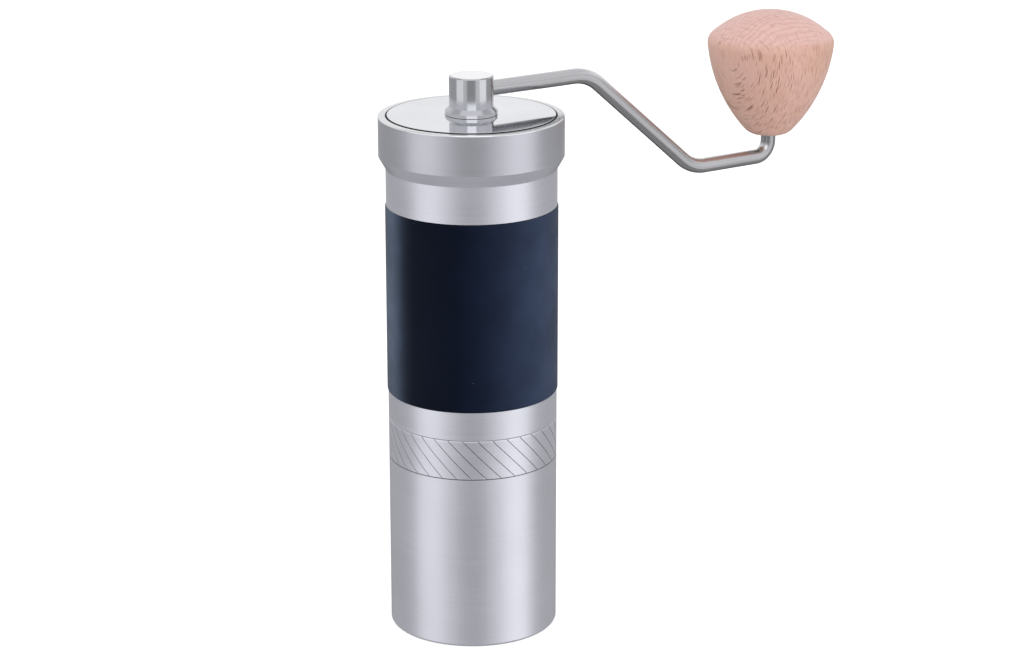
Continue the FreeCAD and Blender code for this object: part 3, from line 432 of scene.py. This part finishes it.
def silicone(name, tones, sheen, roughness, dust):
    """Moulded silicone: smooth skin, slow gloss changes and a few specks of dust.

    The tones are (degrees round from the camera's side, linear colour). On the grip they are
    not the silicone's own: they paint the photograph's light and shade, and were worked out
    from colours read off it. dust is how strong the specks are.
    """
    graph = Graph(name)
    skin = graph.noise(graph.position(), 3.0, detail=4.0, roughness=0.6)
    cloud = graph.noise(graph.position(), 0.06, detail=3.0)
    handled = graph.noise(graph.position(), 0.25, detail=2.0)
    place = graph.add("ShaderNodeSeparateXYZ", links={
        0: graph.position(turn=(0, 0, -math.pi - FRONT_AZIMUTH))})
    round_it = graph.math("ARCTAN2", graph.math("MULTIPLY", place.outputs[1], -1.0),
                          graph.math("MULTIPLY", place.outputs[0], -1.0))
    painted = graph.ramp(graph.span(round_it, -math.pi, math.pi),
                         [(degrees / 360 + 0.5, tone + (1.0,)) for degrees, tone in tones],
                         "B_SPLINE")
    lighter = graph.mix(1.0, painted, (1.4, 1.4, 1.4, 1.0), blend="MULTIPLY")
    surface = graph.mix(graph.span(cloud, 0.35, 0.65), painted, lighter)
    specks = graph.add("ShaderNodeTexVoronoi", links={"Vector": graph.position()},
                       values={"Scale": 0.42})
    rare = graph.add("ShaderNodeSeparateColor", links={0: specks.outputs["Color"]})
    kept = graph.math("GREATER_THAN", rare.outputs[0], 0.8)
    small = graph.math("LESS_THAN", specks.outputs["Distance"], 0.05)
    mask = graph.math("MULTIPLY", graph.math("MULTIPLY", kept, small), dust)
    surface = graph.mix(mask, surface, colour(150, 155, 170))
    gloss = graph.math("ADD", graph.span(handled, 0.3, 0.7, roughness - 0.05, roughness + 0.05),
                       graph.span(skin, 0.3, 0.7, -0.03, 0.03))
    graph.set(Sheen_Weight=sheen, Sheen_Roughness=0.4, Sheen_Tint=(0.55, 0.65, 1.0, 1.0),
              Specular_IOR_Level=0.07, Specular_Tint=(0.6, 0.75, 1.0, 1.0))
    graph.bump(skin, 0.000004)
    return graph.finish(surface, gloss)


def moulded_plastic(name, base, roughness):
    """Plain plastic with a faint grain in its colour and its gloss."""
    graph = Graph(name)
    grain = graph.noise(graph.position(), 5.0, detail=3.0)
    graph.bump(grain, 0.000005)
    return graph.finish(graph.mix(graph.span(grain, 0.3, 0.7), shaded(base, 0.88), base),
                        graph.span(grain, 0.3, 0.7, roughness - 0.06, roughness + 0.06))


def beech(name):
    """Pale beech: ray sheets stand across the crank's arm, growth rings along it.

    The rays are thin sheets that follow the fibre and the ring's radius, so they show as short
    dark dashes on the sides, long fine lines on the dome and ovals on the side they face.
    """
    graph = Graph(name)
    block = graph.position(turn=(math.radians(-3), math.radians(5), math.radians(2)),
                           offset=(-KNOB_AXIS, 0.0, -172.0))
    wander = graph.add("ShaderNodeTexNoise", links={"Vector": block},
                       values={"Scale": 0.06, "Detail": 2.0})
    centred = graph.add("ShaderNodeVectorMath", operation="SUBTRACT",
                        links={0: wander.outputs["Color"]}, values={1: (0.5, 0.5, 0.5)})
    shift = graph.add("ShaderNodeVectorMath", operation="MULTIPLY_ADD",
                      links={0: centred.outputs[0], 2: block}, values={1: (2.6, 6.0, 0.0)})
    along, across, fibre = graph.add("ShaderNodeSeparateXYZ",
                                     links={0: shift.outputs[0]}).outputs
    pith = 85.0    # from the knob's axis to the heart of the tree
    away = graph.math("ADD", across, pith)
    radius = graph.math("SQRT", graph.math("ADD", graph.math("MULTIPLY", away, away),
                                           graph.math("MULTIPLY", along, along)))
    arc = graph.math("MULTIPLY", graph.math("ARCTAN2", along, away), pith)

    # growth rings: each year fades darker, then lighter again, and no two are alike
    year = 2.1
    uneven = graph.math("MULTIPLY_ADD", graph.noise(block, 0.22, detail=1.0), 2.6, radius)
    late = graph.math("POWER", graph.math("PINGPONG", graph.math("DIVIDE", uneven, year), 0.5),
                      2.0)

    def rays(thickness, depth, length, soft, rare):
        """Strength of thin spindles: the share rare of them is left out, and a few are bold."""
        place = graph.add("ShaderNodeCombineXYZ", links={
            0: graph.math("DIVIDE", arc, thickness),
            1: graph.math("DIVIDE", radius, depth),
            2: graph.math("DIVIDE", fibre, length)})
        cells = graph.add("ShaderNodeTexVoronoi", links={"Vector": place.outputs[0]},
                          values={"Scale": 1.0, "Randomness": 1.0})
        chance = graph.add("ShaderNodeSeparateColor", links={0: cells.outputs["Color"]})
        reach = 0.36
        return graph.math("MULTIPLY", graph.span(cells.outputs["Distance"], reach, reach - soft),
                          graph.span(chance.outputs[0], rare, rare + 0.5))

    # rays fade where the surface lies flat on their sheets, and thin out on the end grain
    skin = graph.facing()
    endgrain_and_top_light = graph.span(skin[2], 0.3, 0.85)
    edge_on = graph.span(graph.math("ABSOLUTE", skin[0]), 0.86, 0.98, 1.0, 0.12)
    bold = graph.math("MULTIPLY", rays(0.34, 7.5, 6.0, 0.14, 0.38), edge_on)
    slim = graph.math("MULTIPLY", rays(0.23, 5.0, 3.6, 0.16, 0.0), edge_on)
    pores = graph.noise(graph.add("ShaderNodeCombineXYZ", links={
        0: graph.math("MULTIPLY", arc, 4.0), 1: graph.math("MULTIPLY", radius, 4.0),
        2: graph.math("MULTIPLY", fibre, 0.7)}).outputs[0], 1.0, detail=3.0, roughness=0.6)
    tone = graph.noise(block, 0.07, detail=2.0)

    surface = graph.mix(graph.span(tone, 0.3, 0.7), colour(231, 188, 176), colour(224, 180, 159))
    # the end grain faces up and is painted lighter and pinker there: painted light and sheen
    # from above; the rings and rays below change with the real end grain
    surface = graph.mix(endgrain_and_top_light, surface, colour(240, 200, 193))
    surface = graph.mix(graph.math("MULTIPLY", late, graph.span(endgrain_and_top_light, 0, 1, 0.9, 2.0)),
                        surface, colour(212, 158, 148))
    surface = graph.mix(graph.math("MULTIPLY", graph.span(pores, 0.4, 0.75), 0.5), surface,
                        colour(204, 154, 136))
    surface = graph.mix(graph.math("MULTIPLY", slim, graph.span(endgrain_and_top_light, 0, 1, 0.72, 0.4)),
                        surface, colour(160, 108, 92))
    surface = graph.mix(graph.math("MULTIPLY", bold, graph.span(endgrain_and_top_light, 0, 1, 0.95, 0.45)),
                        surface, colour(118, 70, 55))
    gloss = graph.math("ADD", graph.span(pores, 0.3, 0.7, 0.42, 0.52),
                       graph.math("MULTIPLY", bold, 0.1))
    graph.set(Specular_IOR_Level=0.4, Sheen_Weight=0.1, Sheen_Roughness=0.4)
    dents = graph.math("ADD", graph.math("MULTIPLY", bold, -1.0),
                       graph.math("MULTIPLY", pores, -0.4))
    graph.bump(dents, 0.00003, 0.6)
    return graph.finish(surface, gloss)


ALUMINIUM = anodised_aluminium("anodised_aluminium", colour(198, 199, 208),
                               colour(211, 212, 221))
# the collar's aluminium is a darker copy of the body's: painted shade on the collar
SHADED_COLLAR_ALUMINIUM = anodised_aluminium("painted_shade_collar_aluminium", colour(176, 177, 185),
                                      colour(190, 191, 199))
CUT_ALUMINIUM = turned_metal("cut_aluminium", colour(226, 227, 230), 0.16, 0.03, 0.3,
                             line_scale=14.0)
# the grooves' aluminium is darker: painted shade in the slanting lines and the lower ring
GROOVE_SHADE_ALUMINIUM = turned_metal("groove_shade_aluminium", colour(104, 105, 109), 0.5, 0.05, 0.0)
BORE_ALUMINIUM = turned_metal("bore_aluminium", colour(188, 189, 194), 0.36, 0.04, 0.5,
                              line_scale=9.0, depth=0.000004)
BRACKET_ALUMINIUM = turned_metal("bracket_aluminium", colour(178, 179, 184), 0.34, 0.05, 0.3,
                                 line_scale=5.0, depth=0.000003, worn=0.6)
MIRROR_STEEL = turned_metal("mirror_steel", colour(229, 230, 235), 0.05, 0.012, 0.0,
                            line_scale=1.0, depth=0.0000002)
# the hub's top face is painted near-white: a painted reflection of the bright surround above it
HUB_STEEL = turned_metal("hub_steel", colour(186, 187, 192), 0.15, 0.03, 0.3, line_scale=16.0,
                         top=colour(250, 250, 252))
# the rod is painted lighter on its upper half: a painted highlight from light above
ROD_STEEL = turned_metal("rod_steel", colour(156, 156, 159), 0.24, 0.05, 0.0, line_scale=5.0,
                         depth=0.000003, top=colour(214, 214, 218), top_from=(0.2, 0.6))
SHAFT_STEEL = turned_metal("shaft_steel", colour(190, 190, 192), 0.22, 0.04, 0.4,
                           line_scale=12.0)
BURR_STEEL = turned_metal("burr_steel", colour(168, 168, 172), 0.28, 0.05, 0.0, line_scale=7.0,
                          depth=0.000004, worn=0.9)
BEARING_STEEL = turned_metal("bearing_steel", colour(214, 214, 217), 0.1, 0.02, 0.2,
                             line_scale=18.0)
CAGE_STEEL = turned_metal("cage_steel", colour(190, 176, 140), 0.3, 0.05, 0.0)
SPRING_STEEL = turned_metal("spring_steel", colour(120, 119, 120), 0.26, 0.05, 0.0,
                            line_scale=8.0)
BLACK_STEEL = turned_metal("black_steel", colour(60, 60, 63), 0.36, 0.05, 0.0, worn=0.8)
# the grip's tones are painted light and shade round the sleeve: a nearly black left half, a
# lighter right half and a painted pale highlight near the left edge; the tones at the back are
# made up
GRIP = silicone("grip_silicone", (
    (-180, (0.012, 0.017, 0.032)), (-110, (0.03, 0.038, 0.06)), (-70, (0.085, 0.11, 0.16)),
    (-60, (0.05, 0.068, 0.105)), (-51, (0.006, 0.009, 0.017)), (-40, (0.0018, 0.0028, 0.008)),
    (-10, (0.0022, 0.0036, 0.0105)), (8, (0.0055, 0.009, 0.021)), (23, (0.012, 0.018, 0.039)),
    (36, (0.0195, 0.029, 0.057)), (50, (0.028, 0.04, 0.075)), (70, (0.032, 0.045, 0.08)),
    (180, (0.012, 0.017, 0.032))), 0.0, 0.48, 0.5)
SEAL = silicone("seal_silicone", (
    (-180, (0.01, 0.01, 0.011)), (180, (0.01, 0.01, 0.011))), 0.05, 0.5, 0.0)
ACETAL = moulded_plastic("acetal", colour(222, 218, 206), 0.4)
BEECH = beech("beech")


# ---------------------------------------------------------------- catch cup

def make_cup():
    """The cup, with the engraved band, the seal's groove and the thread on its neck.

    Each row is (radius, height, share of the way up the band, depth of the slanting lines,
    depth of the thread).
    """
    tube = TUBE_RADIUS
    half = LINE_HALF_WIDTH
    neck_top = cup_high.z
    groove_low = seal_low.z - SEAL_ROOM
    groove_high = seal_high.z + SEAL_ROOM
    groove_radius = NECK_RADIUS - SEAL_GROOVE_DEPTH
    thread_low = groove_high + THREAD_END
    thread_high = neck_top - THREAD_END

    def plain(corners, share, steps):
        return [(point.x, point.y, share, 0.0, 0.0)
                for point in round_corners(corners, closed=False, steps=steps)]

    # the base and the wall, up to just below the lower ring
    rows = plain([(0, BASE_HOLLOW, 0), (BASE_HOLLOW_RADIUS, BASE_HOLLOW, 0.2),
                  (BASE_RING_RADIUS, 0, 0.2), (tube, 0, BASE_ROUND), (tube, 20.0, 0)], 0.0, 5)
    rows += [(tube, BAND_LOW - half - 0.6, 0.0, 0.0, 0.0)]

    # the lower ring, a round-bottomed groove
    ring_row = len(rows)
    for step in range(RING_STEPS):
        slide = 2 * step / (RING_STEPS - 1) - 1
        sink = LINE_DEPTH * (1 - slide * slide)
        rows.append((tube - sink, BAND_LOW + half * slide, 0.0, 0.0, 0.0))

    # the slanting lines, shallower at both ends, and the rounded edge at the seam
    band_row = len(rows)
    first = BAND_LOW + half + 0.02
    last = SEAM - 0.22
    for step in range(BAND_STEPS + 1):
        share = step / BAND_STEPS
        depth = LINE_DEPTH if 0 < step < BAND_STEPS else LINE_DEPTH * 0.4
        rows.append((tube, first + (last - first) * share, share, depth, 0.0))
    for inset, drop in ((0.03, 0.16), (0.12, 0.08), (0.22, 0.05)):
        rows.append((tube - inset, SEAM - drop, 1.0, 0.0, 0.0))

    # the shoulder, the seal's groove, the thread, the neck's mouth and the inside
    shoulder = SEAM - GAP
    rows += plain([(tube - 0.3, shoulder, 0), (NECK_RADIUS, shoulder, 0.15),
                   (NECK_RADIUS, groove_low, 0.12), (groove_radius, groove_low, 0.2),
                   (groove_radius, groove_high, 0.2), (NECK_RADIUS, groove_high, 0.12),
                   (NECK_RADIUS, thread_low - 0.1, 0)], 1.0, 4)
    thread_steps = 34
    for step in range(thread_steps + 1):
        share = step / thread_steps
        fade = min(1.0, 6 * share, 6 * (1 - share))
        rows.append((NECK_RADIUS, thread_low + (thread_high - thread_low) * share, 1.0, 0.0,
                     THREAD_DEPTH * fade))
    rows += plain([(NECK_RADIUS, thread_high + 0.1, 0), (NECK_RADIUS, neck_top, 0.45),
                   (CUP_BORE, neck_top, 0.35), (CUP_BORE, CUP_FLOOR, CUP_FLOOR_ROUND),
                   (0, CUP_FLOOR, 0)], 1.0, 6)

    # each column is (angle, how much of a line's depth it has)
    step_angle = 2 * math.pi / LINE_COUNT
    half_angle = half / tube
    columns = []
    for line in range(LINE_COUNT):
        middle = line * step_angle + LINE_PHASE - LINE_LEAN
        for share in (-1.0, -0.55, 0.0, 0.55, 1.0):
            columns.append((middle + half_angle * share, 1 - abs(share)))
        for flat in range(1, FLAT_STEPS):
            columns.append((middle + half_angle
                            + (step_angle - 2 * half_angle) * flat / FLAT_STEPS, 0.0))

    def place(row, column):
        radius, height, share, depth, thread = row
        angle, weight = column
        angle += LINE_LEAN * (1 - share)
        radius -= depth * weight
        if thread:
            wave = (height / THREAD_PITCH - angle / (2 * math.pi)) % 1.0
            radius -= thread * (1 - abs(2 * wave - 1))
        return radius * math.cos(angle), radius * math.sin(angle), height

    mesh = turned_mesh("cup_shell", rows, columns, place, closed=False)
    add_piece("cup_shell", mesh, "cup",
              [ALUMINIUM, BORE_ALUMINIUM, GROOVE_SHADE_ALUMINIUM], ["catch_cup"], sharp=50.0)
    paint_faces(mesh, 1, lambda radius, height: radius < CUP_BORE + 0.1 and height > 1.0
                or height > SEAM)
    width = len(columns)
    # the faces inside the grooves take the darker aluminium: painted shade
    for face in mesh.polygons:
        row, column = divmod(face.index, width)
        in_ring = ring_row <= row < ring_row + RING_STEPS - 1
        in_line = columns[column][1] > 0 or columns[(column + 1) % width][1] > 0
        if in_ring or (band_row <= row < band_row + BAND_STEPS and in_line):
            face.material_index = 2


# ---------------------------------------------------------------- body tube, grip and lid

def make_tube():
    """The outer tube with its collar, lid seat, bore and the room for the cup's thread."""
    piece = turned_piece("tube_shell", [
        (THREAD_BORE, SEAM, 0.1),
        (TUBE_RADIUS, SEAM, 0.14),
        (TUBE_RADIUS, grip_low.z - GAP, 0.1),
        (SLEEVE_SEAT, grip_low.z - GAP, 0),
        (SLEEVE_SEAT, grip_high.z + GAP, 0),
        (TUBE_RADIUS, grip_high.z + GAP, 0.1),
        (TUBE_RADIUS, FLARE_LOW, 0.25),
        (COLLAR_RADIUS, COLLAR_LOW, 0.25),
        (COLLAR_RADIUS, COLLAR_TOP, 0.45),
        (LID_SEAT_RADIUS, COLLAR_TOP, 0.12),
        (LID_SEAT_RADIUS, LID_SEAT, 0.1),
        (MOUTH_RADIUS, LID_SEAT, 0.15),
        (MOUTH_RADIUS, LID_SEAT - MOUTH_DEPTH, 0.3),
        (TUBE_BORE, LID_SEAT - FUNNEL_DEPTH, 0.3),
        (TUBE_BORE, cup_high.z + TUBE_BORE_LOW, 0.1),
        (THREAD_BORE, cup_high.z + THREAD_BORE_END, 0.1),
    ], "housing",
        [ALUMINIUM, BORE_ALUMINIUM, CUT_ALUMINIUM, SHADED_COLLAR_ALUMINIUM], ["body_tube"])
    mesh = piece.data
    # the collar's faces take the darker copy of the aluminium: painted shade
    paint_faces(mesh, 3, lambda radius, height: height > COLLAR_LOW
                and radius > LID_SEAT_RADIUS)
    paint_faces(mesh, 1, lambda radius, height: radius < LID_SEAT_RADIUS - 0.05
                and height > SEAM + 0.1)
    paint_faces(mesh, 2, lambda radius, height: height > COLLAR_TOP - 0.48
                and radius > LID_SEAT_RADIUS + 0.01)


def make_grip():
    """The silicone sleeve, a plain ring in the tube's shallow recess."""
    inner = SLEEVE_SEAT + GAP
    outer = grip_high.x
    edge = 0.55
    turned_piece("grip_skin", [
        (inner, grip_low.z, 0), (outer, grip_low.z, edge),
        (outer, grip_high.z, edge), (inner, grip_high.z, 0)],
        "housing", [GRIP], ["grip_sleeve"])


def make_lid():
    """The polished disc, and the gasket whose lip stands up round its edge."""
    outer = lid_high.x
    step = outer - LID_EDGE_STEP
    groove_low = gasket_low.z - GAP
    groove_high = lid_high.z - LID_LIP
    turned_piece("lid_plate", [
        (LID_BORE, lid_low.z, 0.1), (step, lid_low.z, 0.2), (step, groove_low, 0),
        (GASKET_ROOT, groove_low, 0), (GASKET_ROOT, groove_high, 0), (outer, groove_high, 0),
        (outer, lid_high.z, 0.12), (LID_BORE, lid_high.z, 0.15)],
        "lid", [MIRROR_STEEL], ["lid_disc"])
    root = GASKET_ROOT + GAP
    root_top = groove_high - GAP
    lip_inner = outer + GAP
    lip_outer = gasket_high.x
    lip_top = lid_high.z - GAP
    turned_piece("lid_seal", [
        (root, gasket_low.z, 0), (lip_outer, gasket_low.z, 0.3),
        (lip_outer, lip_top, 0.15), (lip_inner, lip_top, 0.05),
        (lip_inner, root_top, 0), (root, root_top, 0)],
        "lid", [SEAL], ["lid_gasket"])


# ---------------------------------------------------------------- crank and knob

def arc(start, end, radius, steps):
    """Points of an outward arc from start to end, without its last point."""
    chord = end - start
    right = Vector((chord.y, -chord.x)).normalized()
    centre = (start + end) / 2 - right * math.sqrt(radius ** 2 - chord.length_squared / 4)
    first = math.atan2(start.y - centre.y, start.x - centre.x)
    last = math.atan2(end.y - centre.y, end.x - centre.x)
    return [centre + radius * Vector((math.cos(angle), math.sin(angle)))
            for angle in (first + (last - first) * step / steps for step in range(steps))]


def make_knob():
    """The wooden knob, four arcs from its foot to the middle of its dome."""
    low = knob_low.z
    foot = Vector((FOOT_RADIUS, low))
    waist = Vector((WAIST[0], low + WAIST[1]))
    shoulder = Vector((SHOULDER[0], low + SHOULDER[1]))
    rim = Vector((RIM[0], low + RIM[1]))
    top = Vector((0.0, knob_high.z))
    rise = top.y - rim.y
    dome_round = (rim.x ** 2 + rise ** 2) / (2 * rise)
    bore_end = low + KNOB_BORE_DEPTH
    outline = [Vector((0.0, bore_end)), Vector((KNOB_BORE, bore_end)),
               Vector((KNOB_BORE, low + KNOB_BORE_ROUND)),
               Vector((KNOB_BORE + KNOB_BORE_ROUND, low))]
    outline += arc(foot, waist, FOOT_ROUND, 8)
    outline += arc(waist, shoulder, SIDE_ROUND, 26)
    outline += arc(shoulder, rim, SHOULDER_ROUND, 10)
    outline += arc(rim, top, dome_round, 24)
    rows = [tuple(point) for point in outline + [top]]
    mesh = plain_turn("knob_wood", rows, KNOB_SEGMENTS, closed=False)
    mesh.transform(Matrix.Translation((KNOB_AXIS * MM, 0, 0)))
    add_piece("knob_wood", mesh, "knob", [BEECH], ["knob"])


def bent_path(corners, step=0.7):
    """Points and directions along straight runs joined by tangent arcs, in the XZ plane.

    The corners are (x, z, bend radius), and step is the length of an arc's pieces.
    """
    rounded = []
    for index, (x, z, radius) in enumerate(corners):
        here = Vector((x, z))
        if not radius:
            rounded.append([here])
            continue
        before = (Vector(corners[index - 1][:2]) - here).normalized()
        after = (Vector(corners[index + 1][:2]) - here).normalized()
        half = before.angle(after) / 2
        reach = radius / math.tan(half)
        centre = here + (before + after).normalized() * (radius / math.sin(half))
        start = here + before * reach - centre
        turn = math.pi - 2 * half
        side = 1 if before.cross(after) < 0 else -1
        count = max(4, int(radius * turn / step))
        rounded.append([centre + Matrix.Rotation(side * turn * k / count, 2) @ start
                        for k in range(count + 1)])
    points = [point for bend in rounded for point in bend]
    directions = []
    for index, point in enumerate(points):
        before = points[max(0, index - 1)]
        after = points[min(len(points) - 1, index + 1)]
        directions.append((after - before).normalized())
    return points, directions


def make_arm():
    """The bent rod, from inside the hub to the snap ring inside the knob."""
    shoulder_x, shoulder_round = SHOULDER_BEND
    elbow_x, elbow_round = ELBOW_BEND
    points, directions = bent_path([
        (ARM_START, ARM_HEIGHT, None), (shoulder_x, ARM_HEIGHT, shoulder_round),
        (elbow_x, ARM_DROP, elbow_round), (KNOB_AXIS, ARM_DROP, KNOB_BEND),
        (KNOB_AXIS, arm_high.z, None)])
    sides = ARM_SIDES
    toward = Vector((0, -1, 0))
    vertices = []
    for point, direction in zip(points, directions):
        centre = Vector((point.x, 0, point.y))
        across = Vector((-direction.y, 0, direction.x))
        for side in range(sides):
            angle = 2 * math.pi * side / sides
            spoke = across * math.cos(angle) + toward * math.sin(angle)
            vertices.append((centre + spoke * ROD_RADIUS) * MM)
    faces = []
    for ring in range(len(points) - 1):
        for side in range(sides):
            beside = (side + 1) % sides
            faces.append((ring * sides + side, ring * sides + beside,
                          (ring + 1) * sides + beside, (ring + 1) * sides + side))
    faces.append(tuple(range(sides))[::-1])
    last = (len(points) - 1) * sides
    faces.append(tuple(last + side for side in range(sides)))
    mesh = bpy.data.meshes.new("crank_rod")
    mesh.from_pydata(vertices, [], faces)
    mesh.update()
    add_piece("crank_rod", mesh, "crank", [ROD_STEEL], ["crank_arm"])


def give_materials():
    """Assign a finish to every CAD node that stays in view."""
    finishes = {
        "upper_bracket": BRACKET_ALUMINIUM, "lower_bracket": BRACKET_ALUMINIUM,
        "adjustment_dial": BRACKET_ALUMINIUM, "shaft_spacer": BRACKET_ALUMINIUM,
        "cup_seal_ring": SEAL, "crank_hub": HUB_STEEL, "drive_shaft": SHAFT_STEEL,
        "outer_burr": BURR_STEEL, "inner_burr": BURR_STEEL,
        "upper_bearing_outer_ring": BEARING_STEEL, "upper_bearing_inner_ring": BEARING_STEEL,
        "lower_bearing_outer_ring": BEARING_STEEL, "lower_bearing_inner_ring": BEARING_STEEL,
        "upper_bearing_balls": BEARING_STEEL, "lower_bearing_balls": BEARING_STEEL,
        "detent_balls": BEARING_STEEL, "upper_bearing_cage": CAGE_STEEL,
        "lower_bearing_cage": CAGE_STEEL, "burr_spring": SPRING_STEEL,
        "detent_springs": SPRING_STEEL, "knob_snap_ring": SPRING_STEEL,
        "upper_bearing_circlip": SPRING_STEEL, "lower_bearing_circlip": SPRING_STEEL,
        "shaft_circlip": SPRING_STEEL, "lid_circlip": SPRING_STEEL,
        "bracket_set_screws": BLACK_STEEL, "burr_set_screws": BLACK_STEEL,
        "hub_set_screw": BLACK_STEEL, "knob_bush": ACETAL,
    }
    for node, material in finishes.items():
        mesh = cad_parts[node].data
        mesh.materials.clear()
        mesh.materials.append(material)


# ---------------------------------------------------------------- stage, light and camera

def make_stage():
    """A plain pale floor that glows a little. The camera sees it, but the metal doesn't."""
    half = 6.0
    mesh = bpy.data.meshes.new("floor")
    mesh.from_pydata([(-half, -half, 0), (half, -half, 0), (half, half, 0), (-half, half, 0)],
                     [], [(0, 1, 2, 3)])
    floor = bpy.data.objects.new("floor", mesh)
    bpy.context.scene.collection.objects.link(floor)
    graph = Graph("floor")
    graph.set(Base_Color=(0.93, 0.93, 0.93, 1.0), Roughness=0.9, Specular_IOR_Level=0.1,
              Emission_Color=(1.0, 1.0, 1.0, 1.0), Emission_Strength=0.4)
    mesh.materials.append(graph.material)
    floor.visible_glossy = False
    floor.visible_diffuse = False
    floor.visible_shadow = False


def make_world():
    """Even studio surround: pale above, grey below, dimmer in two places.

    One is a strip behind the camera, which the front of the tube mirrors. The other is a patch
    behind the grinder and below it, which darkens the undersides of the hub and the rod.
    """
    world = bpy.data.worlds.new("studio")
    bpy.context.scene.world = world
    world.use_nodes = True
    nodes = Nodes(world.node_tree)
    way = nodes.add("ShaderNodeTexCoord").outputs["Generated"]

    def toward(direction):
        """How far the looked-at way agrees with a direction."""
        return nodes.add("ShaderNodeVectorMath", operation="DOT_PRODUCT", links={0: way},
                         values={1: direction}).outputs["Value"]

    height = nodes.span(nodes.add("ShaderNodeSeparateXYZ", links={0: way}).outputs["Z"], -1, 1)
    greys = ((0.0, 0.53), (0.39, 0.53), (0.6, 0.95), (0.74, 0.95), (0.86, 0.68), (1.0, 0.68))
    shades = nodes.ramp(height, [(place, (grey, grey, grey, 1.0)) for place, grey in greys],
                        "EASE")
    front_x, front_y = math.cos(FRONT_AZIMUTH), math.sin(FRONT_AZIMUTH)
    strip = nodes.span(toward((front_x, front_y, 0)), 0.86, 0.95, 1.0, 0.82, "SMOOTHSTEP")
    patch = nodes.span(toward((-0.75 * front_x, -0.75 * front_y, -0.66)), 0.84, 0.96,
                       1.0, 0.15, "SMOOTHSTEP")
    total = nodes.math("MULTIPLY", nodes.math("MULTIPLY", shades, strip), patch)
    background = world.node_tree.nodes["Background"]
    nodes.link(total, background.inputs["Color"])
    background.inputs["Strength"].default_value = 1.0


def make_light(name, place, away, width, height, power):
    """A soft area light that shines against the direction away, and that no camera sees.

    It is a disc if it has no height.
    """
    light = bpy.data.lights.new(name, "AREA")
    light.energy = power
    light.size = width
    light.shape = "RECTANGLE" if height else "DISK"
    if height:
        light.size_y = height
    lamp = bpy.data.objects.new(name, light)
    lamp.location = place
    lamp.rotation_euler = away.to_track_quat("Z", "Y").to_euler()
    lamp.visible_camera = False
    bpy.context.scene.collection.objects.link(lamp)


def make_lights():
    """A fill above the camera, two soft panels at each side and a disc overhead."""
    away = Vector((math.cos(FRONT_AZIMUTH), math.sin(FRONT_AZIMUTH), 0.47)).normalized()
    make_light("fill", away * 1.5 + Vector((0.06, 0, 0.17)), away, 1.2, 0.8, 3.4)

    panel_low, panel_high = -1.1, 0.4
    for name, azimuth, distance, width, power in (
            ("softbox_left", -62, 1.3, 0.9, 2.8), ("softbox_left_inner", -34, 1.4, 0.6, 0.8),
            ("softbox_right", 64, 1.3, 0.9, 3.65), ("softbox_right_inner", 34, 1.4, 0.6, 1.1)):
        angle = FRONT_AZIMUTH + math.radians(azimuth)
        away = Vector((math.cos(angle), math.sin(angle), 0))
        middle = Vector((0, 0, (panel_low + panel_high) / 2))
        make_light(name, away * distance + middle, away, width, panel_high - panel_low, power)

    make_light("overhead", Vector((0, 0, 1.6)), Vector((0, 0, 1)), 1.6, 0, 2.5)


def make_camera():
    """The camera that was fitted to the outline in the photograph."""
    camera = bpy.data.cameras.new("camera")
    camera.lens = 97.43
    camera.sensor_width = 36.0
    eye = bpy.data.objects.new("camera", camera)
    eye.location = (-0.4625, -0.7293, 0.3689)
    eye.rotation_euler = (math.radians(72.65), 0.0, math.radians(-33.28))
    bpy.context.scene.collection.objects.link(eye)
    bpy.context.scene.camera = eye


make_cup()
make_tube()
make_grip()
make_lid()
make_knob()
make_arm()
give_materials()
make_stage()
make_world()
make_lights()
make_camera()
bpy.context.scene.view_settings.view_transform = "Standard"
